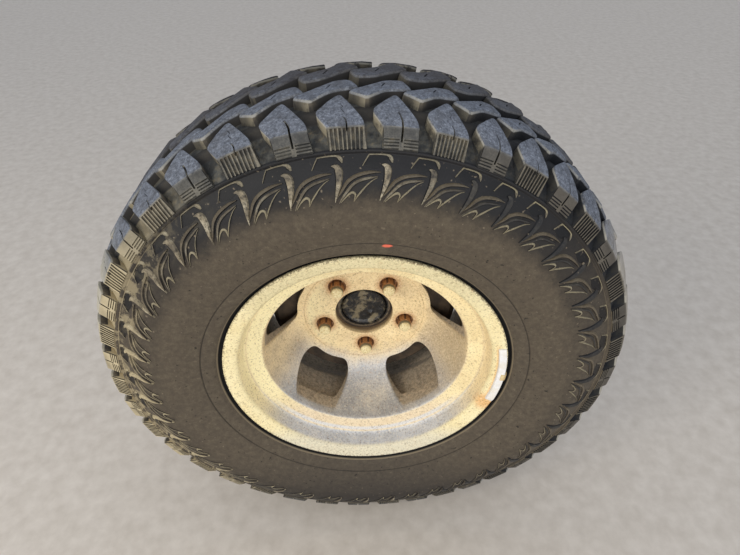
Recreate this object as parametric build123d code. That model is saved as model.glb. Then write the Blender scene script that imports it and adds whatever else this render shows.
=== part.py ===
from build123d import *
from math import cos, sin, tan, radians, degrees, atan2, asin, hypot
import os

# Off-road wheel and tyre on the end of its axle, in millimetres.
# The wheel turns about the Y axis: its outer face looks along -Y, the axle runs off along +Y, +Z is up.
# The origin is the middle of the spigot that goes into the axle tube.
# A profile is a list of (radius, y) corners and is turned about the Y axis.

# Housing end: spigot for the axle tube, neck, bolted flange
spigot_radius = 34.9
spigot_length = 30.0
tube_bore = 29.0
neck_radius = 43.0
neck_length = 24.5
housing_flange_thick = 12.0
housing_flange_width = 128.0
housing_flange_height = 108.0
flange_corner = 18.0
bolt_spacing_x = 96.0
bolt_spacing_z = 76.0
bolt_clearance = 0.25
t_bolt_radius = 4.75
t_head_size = 17.0
t_head_thick = 5.5
t_nut_flats = 17.5
t_nut_thick = 8.0
cut_over = 1.0

# Bearing
bearing_radius = 40.0
bearing_width = 18.0
race_radius = 24.85
running_gap = 0.05
fit_gap = 0.03

# Rim, a casting for a 15 inch tyre, 8 inches wide
bead_seat_radius = 190.1
flange_height = 17.3
flange_edge = 6.5
flange_slope = 7.3
flange_width = 12.7
rim_overall = 228.6
backspace = 79.6
rim_wall = 7.0
outer_seat_width = 20.3
inner_seat_width = 55.3
well_drop = 18.1
outer_well_slope = 19.0
inner_well_slope = 24.0
lip_width = 21.0
lip_fall = 4.6
step_taper = 6.1
step_depth = 31.1
bowl_inset = 9.9
bowl_depth = 38.5
bowl_power = 2.4
bowl_stations = (0.3, 0.55, 0.78)
disc_wall = 10.0
disc_root_depth = 46.0
pad_thick = 15.0
pad_radius = 92.0
rim_bore = 47.3
window_count = 5
window_pad_gap = 19.0
window_ledge_gap = 1.1
window_waist = 17.0
window_half_angle = 21.0
window_neck_angle = 18.0
window_foot_angle = 14.5
window_corner = 10.0
counterbore_radius = 14.0
counterbore_depth = 4.0
stud_hole_radius = 8.6

# Brake
brake_offset = 63.5
plate_thick = 3.0
plate_step = 8.0
plate_flange_gap = 3.6
plate_hole_gap = 0.4
plate_lip_gap = 5.5
plate_lip_length = 14.0
drum_room = 23.0
drum_lip_height = 5.0
drum_lip_width = 8.0
drum_wall = 13.0
drum_web = 6.0
drum_depth = 65.0
drum_corner = 10.0
drum_hole_gap = 0.4

# Axle shaft with its flange and studs
axle_flange_radius = 84.0
axle_flange_thick = 12.0
hub_boss_radius = 43.5
hub_boss_length = 7.0
hub_recess_radius = 36.0
hub_recess_depth = 5.0
hub_ring_width = 3.0
shaft_neck_radius = 24.0
shaft_radius = 17.5
shaft_end_gap = 3.0
collar_width = 12.0

# Wheel studs and nuts
stud_count = 5
stud_circle = 69.85
stud_radius = 6.35
stud_length = 47.0
nut_flats = 21.0
nut_length = 24.0
nut_hexagon = 15.0
nut_tip_radius = 9.4
nut_dome = 3.0
nut_dome_radius = 6.2
nut_shank = 8.0
nut_shank_gap = 0.3
wheel_phase = 1.89

# Balance weights and valve
weight_width = 11.0
weight_thick = 5.0
weight_inset = 2.0
weight_angle = -3.5
weight_half_angle = 15.7
clip_thick = 1.2
clip_reach = 4.5
clip_half_angle = 1.6
weight_density = 7.85e-6
valve_density = 8.5e-6
valve_depth = 84.0
valve_radius = 4.0
valve_length = 15.0
valve_foot_radius = 9.0
valve_foot_thick = 3.5
valve_cap_radius = 4.8
valve_cap_length = 10.0
valve_clearance = 0.05

# Tyre, 31 inches across
tyre_radius = 393.5
tread_depth = 15.0
crown_wall = 11.0
side_wall = 8.0
crown_half_width = 72.0
ring_flare = 40.0
ring_drop = 44.5
ring_rise = 2.0
ring_thick = 4.0
section_flare = 22.0
bulge_drop = 81.5
bulge_rise = 60.6
clinch_half_width = 117.0
clinch_rise = 9.6
flange_gap = 0.4
bead_gap = 0.1
bead_width = 17.5
lug_count = 40
first_lug = 94.5
pitch_swing = 1.9
pitch_waves = 3
swing_centre = 85.5
lug_sink = 6.0
lug_crown_inset = 52.0
lug_crown_drop = 1.0
lug_knee_inset = 26.0
lug_knee_drop = 9.0
lug_shoulder_inset = 7.0
lug_shoulder_drop = 17.4
lug_foot_flare = 3.0
lug_foot_drop = 43.5
lug_overhang = 5.0
block_lag = 3.3
blade_rise = 2.0
blade_sink = 2.0
blade_tip_sink = 0.6

# Half widths of the tyre that follow from its crown
ring_half_width = crown_half_width + ring_flare
section_half_width = ring_half_width + section_flare
lug_crown_width = ring_half_width - lug_crown_inset
lug_knee_width = ring_half_width - lug_knee_inset
lug_shoulder_width = ring_half_width - lug_shoulder_inset
lug_foot_width = ring_half_width + lug_foot_flare
lug_end = lug_foot_width + lug_overhang

# Plan of a shoulder lug and of a centre block
# Columns: angle round the tyre from the lug's own place, distance out from the middle plane
shoulder_plan = [(2.5, lug_end), (3.1, 104.0), (4.9, 83.0), (1.1, 55.0), (-2.5, 97.0), (-3.1, lug_end)]
centre_plan = [(5.6, 43.0), (2.4, 64.0), (-0.6, 40.0), (-5.4, 31.0), (-4.0, 5.0), (-1.0, 7.0)]

# Blades on the wall below each lug: one straight like a claw, one bent like a leaf
# Columns: angle round the tyre from the lug's own place, radius, width; the ends are points
claw_stations = [(-6.5, 337.5, 0.0), (-6.9, 332.0, 7.0), (-6.5, 314.0, 5.0), (-5.7, 300.5, 0.0)]
leaf_stations = [(3.1, 303.5, 0.0), (1.6, 313.0, 5.0), (-0.3, 323.5, 7.0), (-3.8, 328.5, 5.0), (-5.7, 330.0, 0.0)]

# Radii that follow from the sizes above
rim_radius = bead_seat_radius + flange_height
well_radius = bead_seat_radius - well_drop
rim_inner_radius = bead_seat_radius - rim_wall
well_inner_radius = well_radius - rim_wall
lip_inner_radius = rim_radius - lip_width
step_foot_radius = lip_inner_radius - step_taper
bowl_radius = well_inner_radius - bowl_inset
window_inner_radius = pad_radius + window_pad_gap
window_outer_radius = bowl_radius - window_ledge_gap
window_wide_radius = window_inner_radius + window_waist
drum_lip_radius = rim_inner_radius - drum_room
drum_radius = drum_lip_radius - drum_lip_height
drum_inner_radius = drum_radius - drum_wall
plate_lip_inner = drum_lip_radius + plate_lip_gap
flange_reach = hypot(housing_flange_width / 2 - flange_corner, housing_flange_height / 2 - flange_corner) + flange_corner
plate_step_radius = flange_reach + plate_flange_gap
ground_radius = tyre_radius - tread_depth

# Places along the axle, from the spigot outwards
shoulder_y = -spigot_length / 2
neck_y = shoulder_y - neck_length
housing_y = neck_y - housing_flange_thick
plate_y = housing_y - plate_thick
axle_face_y = housing_y - brake_offset
axle_back_y = axle_face_y + axle_flange_thick
seat_y = axle_face_y - drum_web
pad_y = seat_y - pad_thick
nut_foot_y = pad_y + counterbore_depth
rim_back_y = seat_y + backspace
rim_front_y = rim_back_y - rim_overall
rim_mid_y = (rim_front_y + rim_back_y) / 2
drum_edge_y = seat_y + drum_depth
stud_end_y = axle_back_y - stud_length
shaft_end_y = -shoulder_y - shaft_end_gap


def turned(corners, arc=360.0):
    """Solid turned about the Y axis from (radius, y) corners."""
    return revolve(make_face(Polyline(*corners, close=True)), Axis.Y, arc)


def along_y(x, z, y):
    """Plane across the axle at y, its normal along +Y."""
    return Plane(origin=(x, y, z), x_dir=(1, 0, 0), z_dir=(0, 1, 0))


def rod(radius, x, z, y_from, y_to):
    """Round bar along Y."""
    return extrude(along_y(x, z, y_from) * Circle(radius), y_to - y_from)


def around(radius, angle):
    """Point on a circle about the axle, seen from outside with X to the right."""
    return radius * cos(radians(angle)), radius * sin(radians(angle))


def stud_places():
    """Centres of the five studs, one straight down."""
    return [around(stud_circle, 270 + wheel_phase + n * 360 / stud_count) for n in range(stud_count)]


def bolt_places():
    """Corners of the housing flange's bolt pattern."""
    half_x = bolt_spacing_x / 2
    half_z = bolt_spacing_z / 2
    return [(half_x, half_z), (-half_x, half_z), (-half_x, -half_z), (half_x, -half_z)]


# Housing end, bearing, backing plate and their bolts: the side that stands still
def housing_end():
    """Flange, neck and spigot in one casting, bored for the bearing and the shaft."""
    outline = RectangleRounded(housing_flange_width, housing_flange_height, flange_corner)
    flange = extrude(along_y(0, 0, housing_y) * outline, housing_flange_thick)
    neck = turned([
        (tube_bore, housing_y), (neck_radius, housing_y), (neck_radius, shoulder_y),
        (spigot_radius, shoulder_y), (spigot_radius, -shoulder_y), (tube_bore, -shoulder_y)])
    seat_end = plate_y + bearing_width
    body = flange + neck
    body -= rod(tube_bore, 0, 0, housing_y - cut_over, neck_y)
    body -= rod(bearing_radius + fit_gap, 0, 0, housing_y - cut_over, seat_end)
    for x, z in bolt_places():
        body -= rod(t_bolt_radius + bolt_clearance, x, z, housing_y - cut_over, neck_y + cut_over)
    return body


def wheel_bearing():
    """Outer ring of the bearing; the inner ring is on the shaft."""
    inner = race_radius + running_gap
    end = plate_y + bearing_width
    return turned([(inner, plate_y), (bearing_radius, plate_y), (bearing_radius, end), (inner, end)])


def t_bolt(x, z):
    """Bolt with a square head behind the flange and its nut on the brake side of the plate."""
    head = extrude(along_y(x, z, neck_y) * Rectangle(t_head_size, t_head_size), t_head_thick)
    nut = extrude(along_y(x, z, plate_y) * RegularPolygon(t_nut_flats / 2, 6, major_radius=False), -t_nut_thick)
    return head + nut + rod(t_bolt_radius, x, z, plate_y, neck_y)


def backing_plate():
    """Pressed disc, stepped back round its bolted centre, with a lip round the drum's edge."""
    far = plate_y + plate_step
    hole = bearing_radius + plate_hole_gap
    step_end = plate_step_radius + plate_step
    lip_outer = plate_lip_inner + plate_thick
    body = turned([
        (hole, plate_y), (plate_step_radius, plate_y), (step_end, far), (plate_lip_inner, far),
        (plate_lip_inner, far - plate_lip_length), (lip_outer, far - plate_lip_length),
        (lip_outer, far + plate_thick), (step_end, far + plate_thick), (plate_step_radius, housing_y),
        (hole, housing_y)])
    for x, z in bolt_places():
        body -= rod(t_bolt_radius + bolt_clearance, x, z, plate_y - cut_over, housing_y + cut_over)
    return body


# Axle shaft and drum: they turn with the wheel
def axle_shaft():
    """Flanged shaft with its studs and the pressed-on inner ring and collar of the bearing."""
    front = axle_face_y - hub_boss_length
    ring_end = plate_y + bearing_width
    collar_end = ring_end + collar_width
    body = turned([
        (0, front + hub_recess_depth), (hub_recess_radius, front + hub_recess_depth),
        (hub_recess_radius + hub_ring_width, front), (hub_boss_radius, front), (hub_boss_radius, axle_face_y),
        (axle_flange_radius, axle_face_y), (axle_flange_radius, axle_back_y), (shaft_neck_radius, axle_back_y),
        (shaft_neck_radius, plate_y),
        (race_radius, plate_y), (race_radius, ring_end), (shaft_neck_radius, ring_end),
        (shaft_neck_radius, collar_end), (shaft_radius, collar_end), (shaft_radius, shaft_end_y), (0, shaft_end_y)])
    for x, z in stud_places():
        body += rod(stud_radius, x, z, stud_end_y, axle_back_y)
    return body


def brake_drum():
    """Cast drum between the axle flange and the rim."""
    hole = hub_boss_radius + drum_hole_gap
    lip_start = drum_edge_y - drum_lip_width
    body = turned([
        (hole, seat_y), (drum_radius - drum_corner, seat_y), (drum_radius, seat_y + drum_corner),
        (drum_radius, lip_start), (drum_lip_radius, lip_start), (drum_lip_radius, drum_edge_y),
        (drum_inner_radius, drum_edge_y), (drum_inner_radius, axle_face_y), (hole, axle_face_y)])
    for x, z in stud_places():
        body -= rod(stud_radius + drum_hole_gap, x, z, seat_y - cut_over, axle_face_y + cut_over)
    return body


# Rim
def bowl_y(radius):
    """Height of the bowl's outer surface at a radius."""
    share = max(radius - pad_radius, 0) / (bowl_radius - pad_radius)
    return pad_y - (pad_y - rim_front_y - bowl_depth) * share ** bowl_power


def bowl_front(share):
    """Point on the bowl's outer surface, by its share of the way from the pad to the ledge."""
    radius = pad_radius + share * (bowl_radius - pad_radius)
    return radius, bowl_y(radius)


def bowl_back(share):
    """Point behind the bowl's surface, one wall thickness along its normal."""
    radius, y = bowl_front(share)
    step = 0.5
    rise = (bowl_y(radius + step) - bowl_y(radius - step)) / (2 * step)
    length = hypot(1, rise)
    return radius - disc_wall * rise / length, y + disc_wall / length


def slope_shift(length):
    """How far the inside of a sloped well wall moves along the axle to keep its thickness."""
    return rim_wall * tan(atan2(well_drop, length) / 2)


def rim_profile():
    """Section of the rim: flanges, bead seats and well outside; lips, step, ledge, bowl and pad inside."""
    front = rim_front_y
    back = rim_back_y
    outer_seat_end = front + flange_width + outer_seat_width
    inner_seat_end = back - flange_width - inner_seat_width
    well_end = inner_seat_end - inner_well_slope
    shift = slope_shift(inner_well_slope)
    slope_radius = rim_radius - flange_slope
    tyre_side = [
        (rim_radius, front), (rim_radius, front + flange_edge), (slope_radius, front + flange_width),
        (bead_seat_radius, front + flange_width), (bead_seat_radius, outer_seat_end),
        (well_radius, outer_seat_end + outer_well_slope), (well_radius, well_end),
        (bead_seat_radius, inner_seat_end), (bead_seat_radius, back - flange_width),
        (slope_radius, back - flange_width), (rim_radius, back - flange_edge), (rim_radius, back)]
    hollow = [
        (lip_inner_radius, back - lip_fall), (rim_inner_radius, back - flange_width),
        (rim_inner_radius, inner_seat_end + shift), (well_inner_radius, well_end + shift),
        (well_inner_radius, front + disc_root_depth)]
    hollow += [bowl_back(share) for share in reversed(bowl_stations)]
    hollow += [(bowl_back(0)[0] + pad_thick - disc_wall, pad_y + disc_wall), (pad_radius, seat_y)]
    face_side = [(rim_bore, seat_y), (rim_bore, pad_y), (pad_radius, pad_y)]
    face_side += [bowl_front(share) for share in bowl_stations]
    face_side += [(bowl_radius, front + bowl_depth), (step_foot_radius, front + step_depth),
                  (lip_inner_radius, front + lip_fall)]
    return tyre_side + hollow + face_side


def window_cut(angle):
    """Prism along the axle: round-cornered towards the pad, narrower towards the ledge."""
    table = [  # radius, angle from the window's middle
        (window_inner_radius, -window_neck_angle),
        (window_inner_radius, window_neck_angle),
        (window_wide_radius, window_half_angle),
        (window_outer_radius, window_foot_angle),
        (window_outer_radius, -window_foot_angle),
        (window_wide_radius, -window_half_angle),
    ]
    inner_left, inner_right, wide_right, foot_right, foot_left, wide_left = [
        around(radius, angle + offset) for radius, offset in table]
    outline = make_face(Curve() + [
        ThreePointArc(inner_left, around(window_inner_radius, angle), inner_right),
        Line(inner_right, wide_right),
        Line(wide_right, foot_right),
        ThreePointArc(foot_right, around(window_outer_radius, angle), foot_left),
        Line(foot_left, wide_left),
        Line(wide_left, inner_left),
    ])
    towards_pad = [v for v in outline.vertices() if hypot(v.X, v.Y) < window_wide_radius - cut_over]
    outline = fillet(towards_pad, window_corner)
    face = Plane(origin=(0, rim_front_y, 0), x_dir=(1, 0, 0), z_dir=(0, -1, 0)) * outline
    return extrude(face, -rim_overall)


def valve_plane():
    """Plane on the well's outer surface over the top window, its normal towards the axle."""
    angle = 90 + wheel_phase
    x, z = around(well_radius, angle)
    return Plane(origin=(x, rim_front_y + valve_depth, z), x_dir=(0, 1, 0),
                 z_dir=(-cos(radians(angle)), 0, -sin(radians(angle))))


def rim():
    body = turned(rim_profile())
    for n in range(window_count):
        body -= window_cut(90 + wheel_phase + n * 360 / window_count)
    for x, z in stud_places():
        body -= rod(stud_hole_radius, x, z, pad_y - cut_over, seat_y + cut_over)
        body -= rod(counterbore_radius, x, z, pad_y - cut_over, nut_foot_y)
    return body - valve_plane() * Cylinder(valve_radius + valve_clearance, 4 * rim_wall)


# Wheel nuts, weights and valve
def lug_nut(x, z):
    """Long closed nut: round shank in the rim's hole, hexagon, then a round tip with a dome."""
    hexagon = RegularPolygon(nut_flats / 2, 6, major_radius=False)
    body = rod(stud_hole_radius - nut_shank_gap, x, z, nut_foot_y, nut_foot_y + nut_shank)
    body += extrude(along_y(x, z, nut_foot_y) * hexagon, -nut_hexagon)
    tip = nut_foot_y - nut_length
    body += rod(nut_tip_radius, x, z, tip + nut_dome, nut_foot_y - nut_hexagon)
    body += along_y(x, z, tip + nut_dome / 2) * Cone(nut_dome_radius, nut_tip_radius, nut_dome)
    return body - rod(stud_radius + fit_gap, x, z, stud_end_y - cut_over, seat_y)


def outer_weight(middle, half_angle):
    """Curved weight on the outer lip, with a clip over the rim's edge."""
    outer = rim_radius - weight_inset
    inner = outer - weight_width
    edge_y = rim_front_y - clip_thick
    lip_outer = rim_front_y + lip_fall * weight_inset / lip_width
    lip_inner = rim_front_y + lip_fall * (weight_inset + weight_width) / lip_width
    bar = turned([(inner, lip_inner), (outer, lip_outer), (outer, lip_outer - weight_thick),
                  (inner, lip_inner - weight_thick)], 2 * half_angle)
    clip = turned([(outer, lip_outer), (rim_radius, rim_front_y), (rim_radius, rim_front_y + clip_reach),
                   (rim_radius + clip_thick, rim_front_y + clip_reach), (rim_radius + clip_thick, edge_y),
                   (outer, edge_y)], 2 * clip_half_angle)
    place = Rot(0, -middle, 0)
    return place * Rot(0, -half_angle, 0) * bar + place * Rot(0, -clip_half_angle, 0) * clip


def pull(piece, density):
    """Out-of-balance pull of a piece on the wheel, as mass times distance from the axle."""
    centre = piece.center(CenterOf.MASS)
    return Vector(centre.X, 0, centre.Z) * (density * piece.volume)


def inner_weight():
    """Weight on the inboard lip, placed and sized so that it balances the outer weight and the valve."""
    needed = pull(outer_weight(weight_angle, weight_half_angle), weight_density) + pull(valve(), valve_density)
    clip_only = pull(outer_weight(0, clip_half_angle), weight_density).length
    clip_share = clip_only - one_sine_pull() * sin(radians(clip_half_angle))
    half_angle = degrees(asin((needed.length - clip_share) / one_sine_pull()))
    middle = degrees(atan2(-needed.Z, -needed.X))
    return mirror(outer_weight(middle, half_angle), Plane(origin=(0, rim_mid_y, 0), z_dir=(0, 1, 0)))


def one_sine_pull():
    """Pull of a weight's bar for each unit of the sine of its half angle."""
    long = pull(outer_weight(0, weight_half_angle), weight_density).length
    short = pull(outer_weight(0, 2 * clip_half_angle), weight_density).length
    return (long - short) / (sin(radians(weight_half_angle)) - sin(radians(2 * clip_half_angle)))


def valve():
    """Valve through the well wall: foot in the air chamber, stem and cap towards the axle."""
    place = valve_plane()
    body = place * Pos(0, 0, -valve_foot_thick / 2) * Cylinder(valve_foot_radius, valve_foot_thick)
    body += place * Pos(0, 0, valve_length / 2) * Cylinder(valve_radius, valve_length)
    cap_middle = valve_length + valve_cap_length / 2
    return body + place * Pos(0, 0, cap_middle) * Cylinder(valve_cap_radius, valve_cap_length)


# Tyre
def warp(angle):
    """Lug spacing swells and shrinks a little round the tyre, which quietens it."""
    return angle - pitch_swing * cos(radians(pitch_waves * (angle - swing_centre)))


def wall_width(radius):
    """Distance of the tyre's outer wall from its middle plane, at a radius between bulge and ring line."""
    bulge_top = tyre_radius - bulge_drop
    ring = tyre_radius - ring_drop
    share = max(radius - bulge_top, 0) / (ring - bulge_top)
    return section_half_width - section_flare * share


def casing():
    """Hollow casing from bead to bead, turned from straight bands, with a raised ring under the lugs."""
    bead = bead_seat_radius + bead_gap
    heel = rim_overall / 2 - flange_width - bead_gap
    bulge_top = tyre_radius - bulge_drop
    bulge_foot = rim_radius + bulge_rise
    inner_side = section_half_width - side_wall
    ring_top = tyre_radius - ring_drop + ring_thick / 2
    ring_foot = ring_top - ring_thick
    ring_crest = ring_half_width + ring_rise
    half = [  # distance from the tyre's middle plane, radius
        (crown_half_width, ground_radius), (ring_half_width, ring_top), (ring_crest, ring_top),
        (ring_crest, ring_foot), (wall_width(ring_foot), ring_foot),
        (section_half_width, bulge_top), (section_half_width, bulge_foot),
        (clinch_half_width, rim_radius + clinch_rise),
        (heel + flange_width - flange_edge, rim_radius + flange_gap),
        (heel, rim_radius - flange_slope + bead_gap), (heel, bead),
        (heel - bead_width, bead), (inner_side, bulge_foot), (inner_side, bulge_top),
        (crown_half_width, ground_radius - crown_wall)]
    corners = [(radius, rim_mid_y - w) for w, radius in half]
    corners += [(radius, rim_mid_y + w) for w, radius in reversed(half)]
    return turned(corners)


def plan_prism(centre, plan, low, high, side):
    """Block with the given plan, standing on the tread at an angle, between two heights."""
    middle = warp(centre)
    turn = radians(middle)
    points = []
    for offset, w in plan:
        swing = radians(warp(centre + side * offset) - middle)
        points.append((high * sin(swing), side * w))
    place = Plane(origin=(low * cos(turn), rim_mid_y, low * sin(turn)), x_dir=(-sin(turn), 0, cos(turn)),
                  z_dir=(cos(turn), 0, sin(turn)))
    return extrude(place * make_face(Polyline(*points, close=True)), high - low)


def flat_top(plan):
    """Height of a flat block top whose corners just reach the tyre's radius."""
    return tyre_radius * cos(radians(max(abs(offset) for offset, w in plan)))


def shoulder_lug(centre, side):
    """Shoulder lug: an arrowhead in plan, rounded over the shoulder and running down to the ring line."""
    top = flat_top(shoulder_plan)
    foot = tyre_radius - lug_foot_drop
    nose = min(w for offset, w in shoulder_plan)
    block = plan_prism(centre, shoulder_plan, foot - lug_sink, top + cut_over, side)
    section = [
        (nose - cut_over, top), (lug_crown_width, top - lug_crown_drop), (lug_knee_width, top - lug_knee_drop),
        (lug_shoulder_width, top - lug_shoulder_drop), (lug_foot_width, foot),
        (ring_half_width - lug_sink, foot), (crown_half_width - lug_sink, ground_radius - lug_sink),
        (nose - cut_over, ground_radius - lug_sink)]
    turn = radians(warp(centre))
    across = Plane(origin=(0, rim_mid_y, 0), x_dir=(0, -1, 0), z_dir=(-sin(turn), 0, cos(turn)))
    outline = make_face(Polyline(*[(side * w, radius) for w, radius in section], close=True))
    return block & extrude(across * outline, tread_depth * 3, both=True)


def centre_block(centre, side):
    """Slanting block of the inner row."""
    return plan_prism(centre, centre_plan, ground_radius - lug_sink, flat_top(centre_plan), side)


def blade(centre, stations, side):
    """Low ridge on the wall, three-cornered in section and pointed at both ends."""
    middle_line = [Vector(radians(offset) * radius, radius) for offset, radius, width in stations]
    last = len(stations) - 1
    sections = []
    for n, (offset, radius, width) in enumerate(stations):
        along = (middle_line[min(n + 1, last)] - middle_line[max(n - 1, 0)]).normalized()
        if width:
            table = [(-width / 2, -blade_sink), (0.0, blade_rise), (width / 2, -blade_sink)]
        else:
            table = [(0.0, -blade_tip_sink)] * 3
        points = []
        for shift, rise in table:
            r = radius + along.X * shift
            turn = radians(warp(centre + side * (offset - degrees(along.Y * shift / radius))))
            points.append((r * cos(turn), rim_mid_y - side * (wall_width(r) + rise), r * sin(turn)))
        sections.append(points)
    faces = []
    for here, there in zip(sections, sections[1:]):
        for n in range(3):
            m = (n + 1) % 3
            for corners in ([here[n], here[m], there[m]], [here[n], there[m], there[n]]):
                if len(set(corners)) == 3:
                    faces.append(make_face(Polyline(*corners, close=True)).face())
    return Solid(Shell(faces))


def tyre():
    """Casing with a shoulder lug, a centre block and two blades at each pitch, on both sides."""
    lugs = []
    for n in range(lug_count):
        angle = first_lug + n * 360 / lug_count
        for side in (1, -1):
            lugs.append(shoulder_lug(angle, side))
            lugs.append(centre_block(angle + block_lag, side))
            lugs.append(blade(angle, claw_stations, side))
            lugs.append(blade(angle, leaf_stations, side))
    return casing().fuse(*lugs)


# One file for each piece
pieces = {
    "housing_end": housing_end(),
    "wheel_bearing": wheel_bearing(),
    "t_bolts": Compound([t_bolt(x, z).solid() for x, z in bolt_places()]),
    "backing_plate": backing_plate(),
    "axle_shaft": axle_shaft(),
    "brake_drum": brake_drum(),
    "rim": rim(),
    "lug_nuts": Compound([lug_nut(x, z).solid() for x, z in stud_places()]),
    "outer_weight": outer_weight(weight_angle, weight_half_angle),
    "inner_weight": inner_weight(),
    "valve": valve(),
    "tyre": tyre(),
}

os.makedirs("parts", exist_ok=True)
for name, piece in pieces.items():
    export_step(piece, f"parts/{name}.step")
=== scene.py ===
import bpy
import bmesh
from math import asin, atan2, cos, degrees, hypot, pi, radians, sin
from mathutils import Matrix, Vector, noise


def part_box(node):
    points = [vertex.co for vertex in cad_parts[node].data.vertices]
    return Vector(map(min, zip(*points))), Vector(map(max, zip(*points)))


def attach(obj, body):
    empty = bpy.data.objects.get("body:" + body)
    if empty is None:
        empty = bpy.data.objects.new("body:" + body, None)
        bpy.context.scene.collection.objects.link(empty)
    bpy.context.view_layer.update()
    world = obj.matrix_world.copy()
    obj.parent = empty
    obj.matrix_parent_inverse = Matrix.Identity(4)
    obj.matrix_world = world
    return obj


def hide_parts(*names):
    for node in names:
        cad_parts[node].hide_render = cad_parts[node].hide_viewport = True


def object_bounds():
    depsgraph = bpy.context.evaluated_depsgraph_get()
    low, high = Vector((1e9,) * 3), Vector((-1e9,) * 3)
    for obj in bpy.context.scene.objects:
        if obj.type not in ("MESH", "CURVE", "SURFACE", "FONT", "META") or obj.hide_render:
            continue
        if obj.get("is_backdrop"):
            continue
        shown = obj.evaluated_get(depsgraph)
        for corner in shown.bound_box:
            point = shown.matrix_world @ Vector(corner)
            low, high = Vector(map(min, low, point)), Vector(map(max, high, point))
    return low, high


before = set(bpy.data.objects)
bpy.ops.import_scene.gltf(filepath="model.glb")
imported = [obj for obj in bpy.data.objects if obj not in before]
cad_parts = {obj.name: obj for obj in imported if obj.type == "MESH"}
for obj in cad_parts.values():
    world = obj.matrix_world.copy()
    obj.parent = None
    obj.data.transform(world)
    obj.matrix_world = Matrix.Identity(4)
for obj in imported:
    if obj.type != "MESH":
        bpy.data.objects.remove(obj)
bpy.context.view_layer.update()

# Camera: a person's eye beside the wheel, looking down on it.
EYE_PLACE = (-0.0095, -0.8278, 0.6099)
LOOKS_DOWN = 37.822
LOOKS_RIGHT = 1.585
bpy.context.scene.view_settings.view_transform = "Standard"
eye = bpy.data.cameras.new("camera")
eye.lens = 27.05
eye.sensor_width = 36.0
eye_object = bpy.data.objects.new("camera", eye)
eye_object.location = EYE_PLACE
eye_object.rotation_euler = (radians(90 - LOOKS_DOWN), 0, -radians(LOOKS_RIGHT))
bpy.context.collection.objects.link(eye_object)
bpy.context.scene.camera = eye_object


# Housing end: a rough iron casting, machined only on its spigot and its bearing seat.
# It is welded into the end of the axle tube; oil and road dirt have turned it dark brown.
MM = 0.001


def srgb(red, green, blue):
    """Colour as seen on a screen, from 0 to 255, turned into linear light."""
    parts = []
    for value in (red, green, blue):
        share = value / 255
        parts.append(share / 12.92 if share <= 0.04045 else ((share + 0.055) / 1.055) ** 2.4)
    return (*parts, 1.0)


def source(tree, kind, output, **settings):
    """Output of a new shader node that is fed by nothing."""
    made = tree.nodes.new("ShaderNode" + kind)
    for name, value in settings.items():
        setattr(made, name, value)
    return made.outputs[output]


def add(kind, feed, **settings):
    """New shader node beside those that feed it; feed gives its sockets outputs or plain numbers."""
    tree = next(value.id_data for value in feed.values() if isinstance(value, bpy.types.NodeSocket))
    made = tree.nodes.new("ShaderNode" + kind)
    for name, value in settings.items():
        setattr(made, name, value)
    for socket, value in feed.items():
        if isinstance(value, bpy.types.NodeSocket):
            tree.links.new(value, made.inputs[socket])
        else:
            made.inputs[socket].default_value = value
    return made


def new_material(name, roughness=None):
    """Node material and its shader. A roughness that is the same all over sits on the shader itself."""
    made = bpy.data.materials.new(name)
    made.use_nodes = True
    shader = made.node_tree.nodes["Principled BSDF"]
    if roughness is not None:
        shader.inputs["Roughness"].default_value = roughness
    return made, made.node_tree, shader


def place(tree):
    """Place on the piece itself, in metres, so that dirt turns with the wheel."""
    return source(tree, "TexCoord", "Object")


def grain(spot, size, detail=4.0, rough=0.6):
    """Cloudy pattern with patches of about this size in millimetres, from 0 to 1."""
    feed = {"Vector": spot, "Scale": 1000 / size, "Detail": detail, "Roughness": rough}
    return add("TexNoise", feed).outputs[0]


def steps(value, *stops):
    """Colour or grey looked up from (place, colour) stops."""
    made = add("ValToRGB", {0: value})
    ramp = made.color_ramp
    while len(ramp.elements) < len(stops):
        ramp.elements.new(1.0)
    for element, (position, colour) in zip(ramp.elements, stops):
        element.position = position
        element.color = colour if isinstance(colour, tuple) else (colour, colour, colour, 1)
    return made.outputs[0]


def maths(operation, first, second=0.0, clamp=False):
    """Sum, difference or the like of two outputs or numbers."""
    return add("Math", {0: first, 1: second}, operation=operation, use_clamp=clamp).outputs[0]


def times(product, *others):
    """Product of several shares."""
    for other in others:
        product = maths("MULTIPLY", product, other)
    return product


def coat(under, over, *shares):
    """Colour laid over another by the product of its shares."""
    return add("Mix", {0: times(*shares), 6: under, 7: over}, data_type="RGBA").outputs[2]


def relief(shader, height, depth):
    """Fine surface relief of a depth in millimetres."""
    made = add("Bump", {"Height": height, "Distance": depth * MM, "Strength": 1.0})
    shader.id_data.links.new(made.outputs[0], shader.inputs["Normal"])


def wear(tree, size):
    """Dirt patterns of two sizes, broad and fine."""
    spot = place(tree)
    return grain(spot, size * 6), grain(spot, size, detail=6)


def cast_skin(name, dark, light, dust, roughness=0.85, depth=0.5, size=3.0):
    """Old cast or pressed metal: two tones of its own and dust lying in patches."""
    made, tree, shader = new_material(name, roughness)
    broad, fine = wear(tree, size)
    own = steps(fine, (0.3, dark), (0.7, light))
    patches = steps(broad, (0.42, 0.0), (0.68, 0.85))
    tree.links.new(coat(own, dust, patches), shader.inputs["Base Color"])
    relief(shader, fine, depth)
    return made


def ease_edges(piece, width, segments, angle, clamp=True):
    """Bevel on the edges sharper than an angle, with its width in the piece's own units."""
    bevel = piece.modifiers.new("eased edges", "BEVEL")
    bevel.width = width
    bevel.segments = segments
    bevel.limit_method = "ANGLE"
    bevel.angle_limit = radians(angle)
    bevel.use_clamp_overlap = clamp


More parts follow.
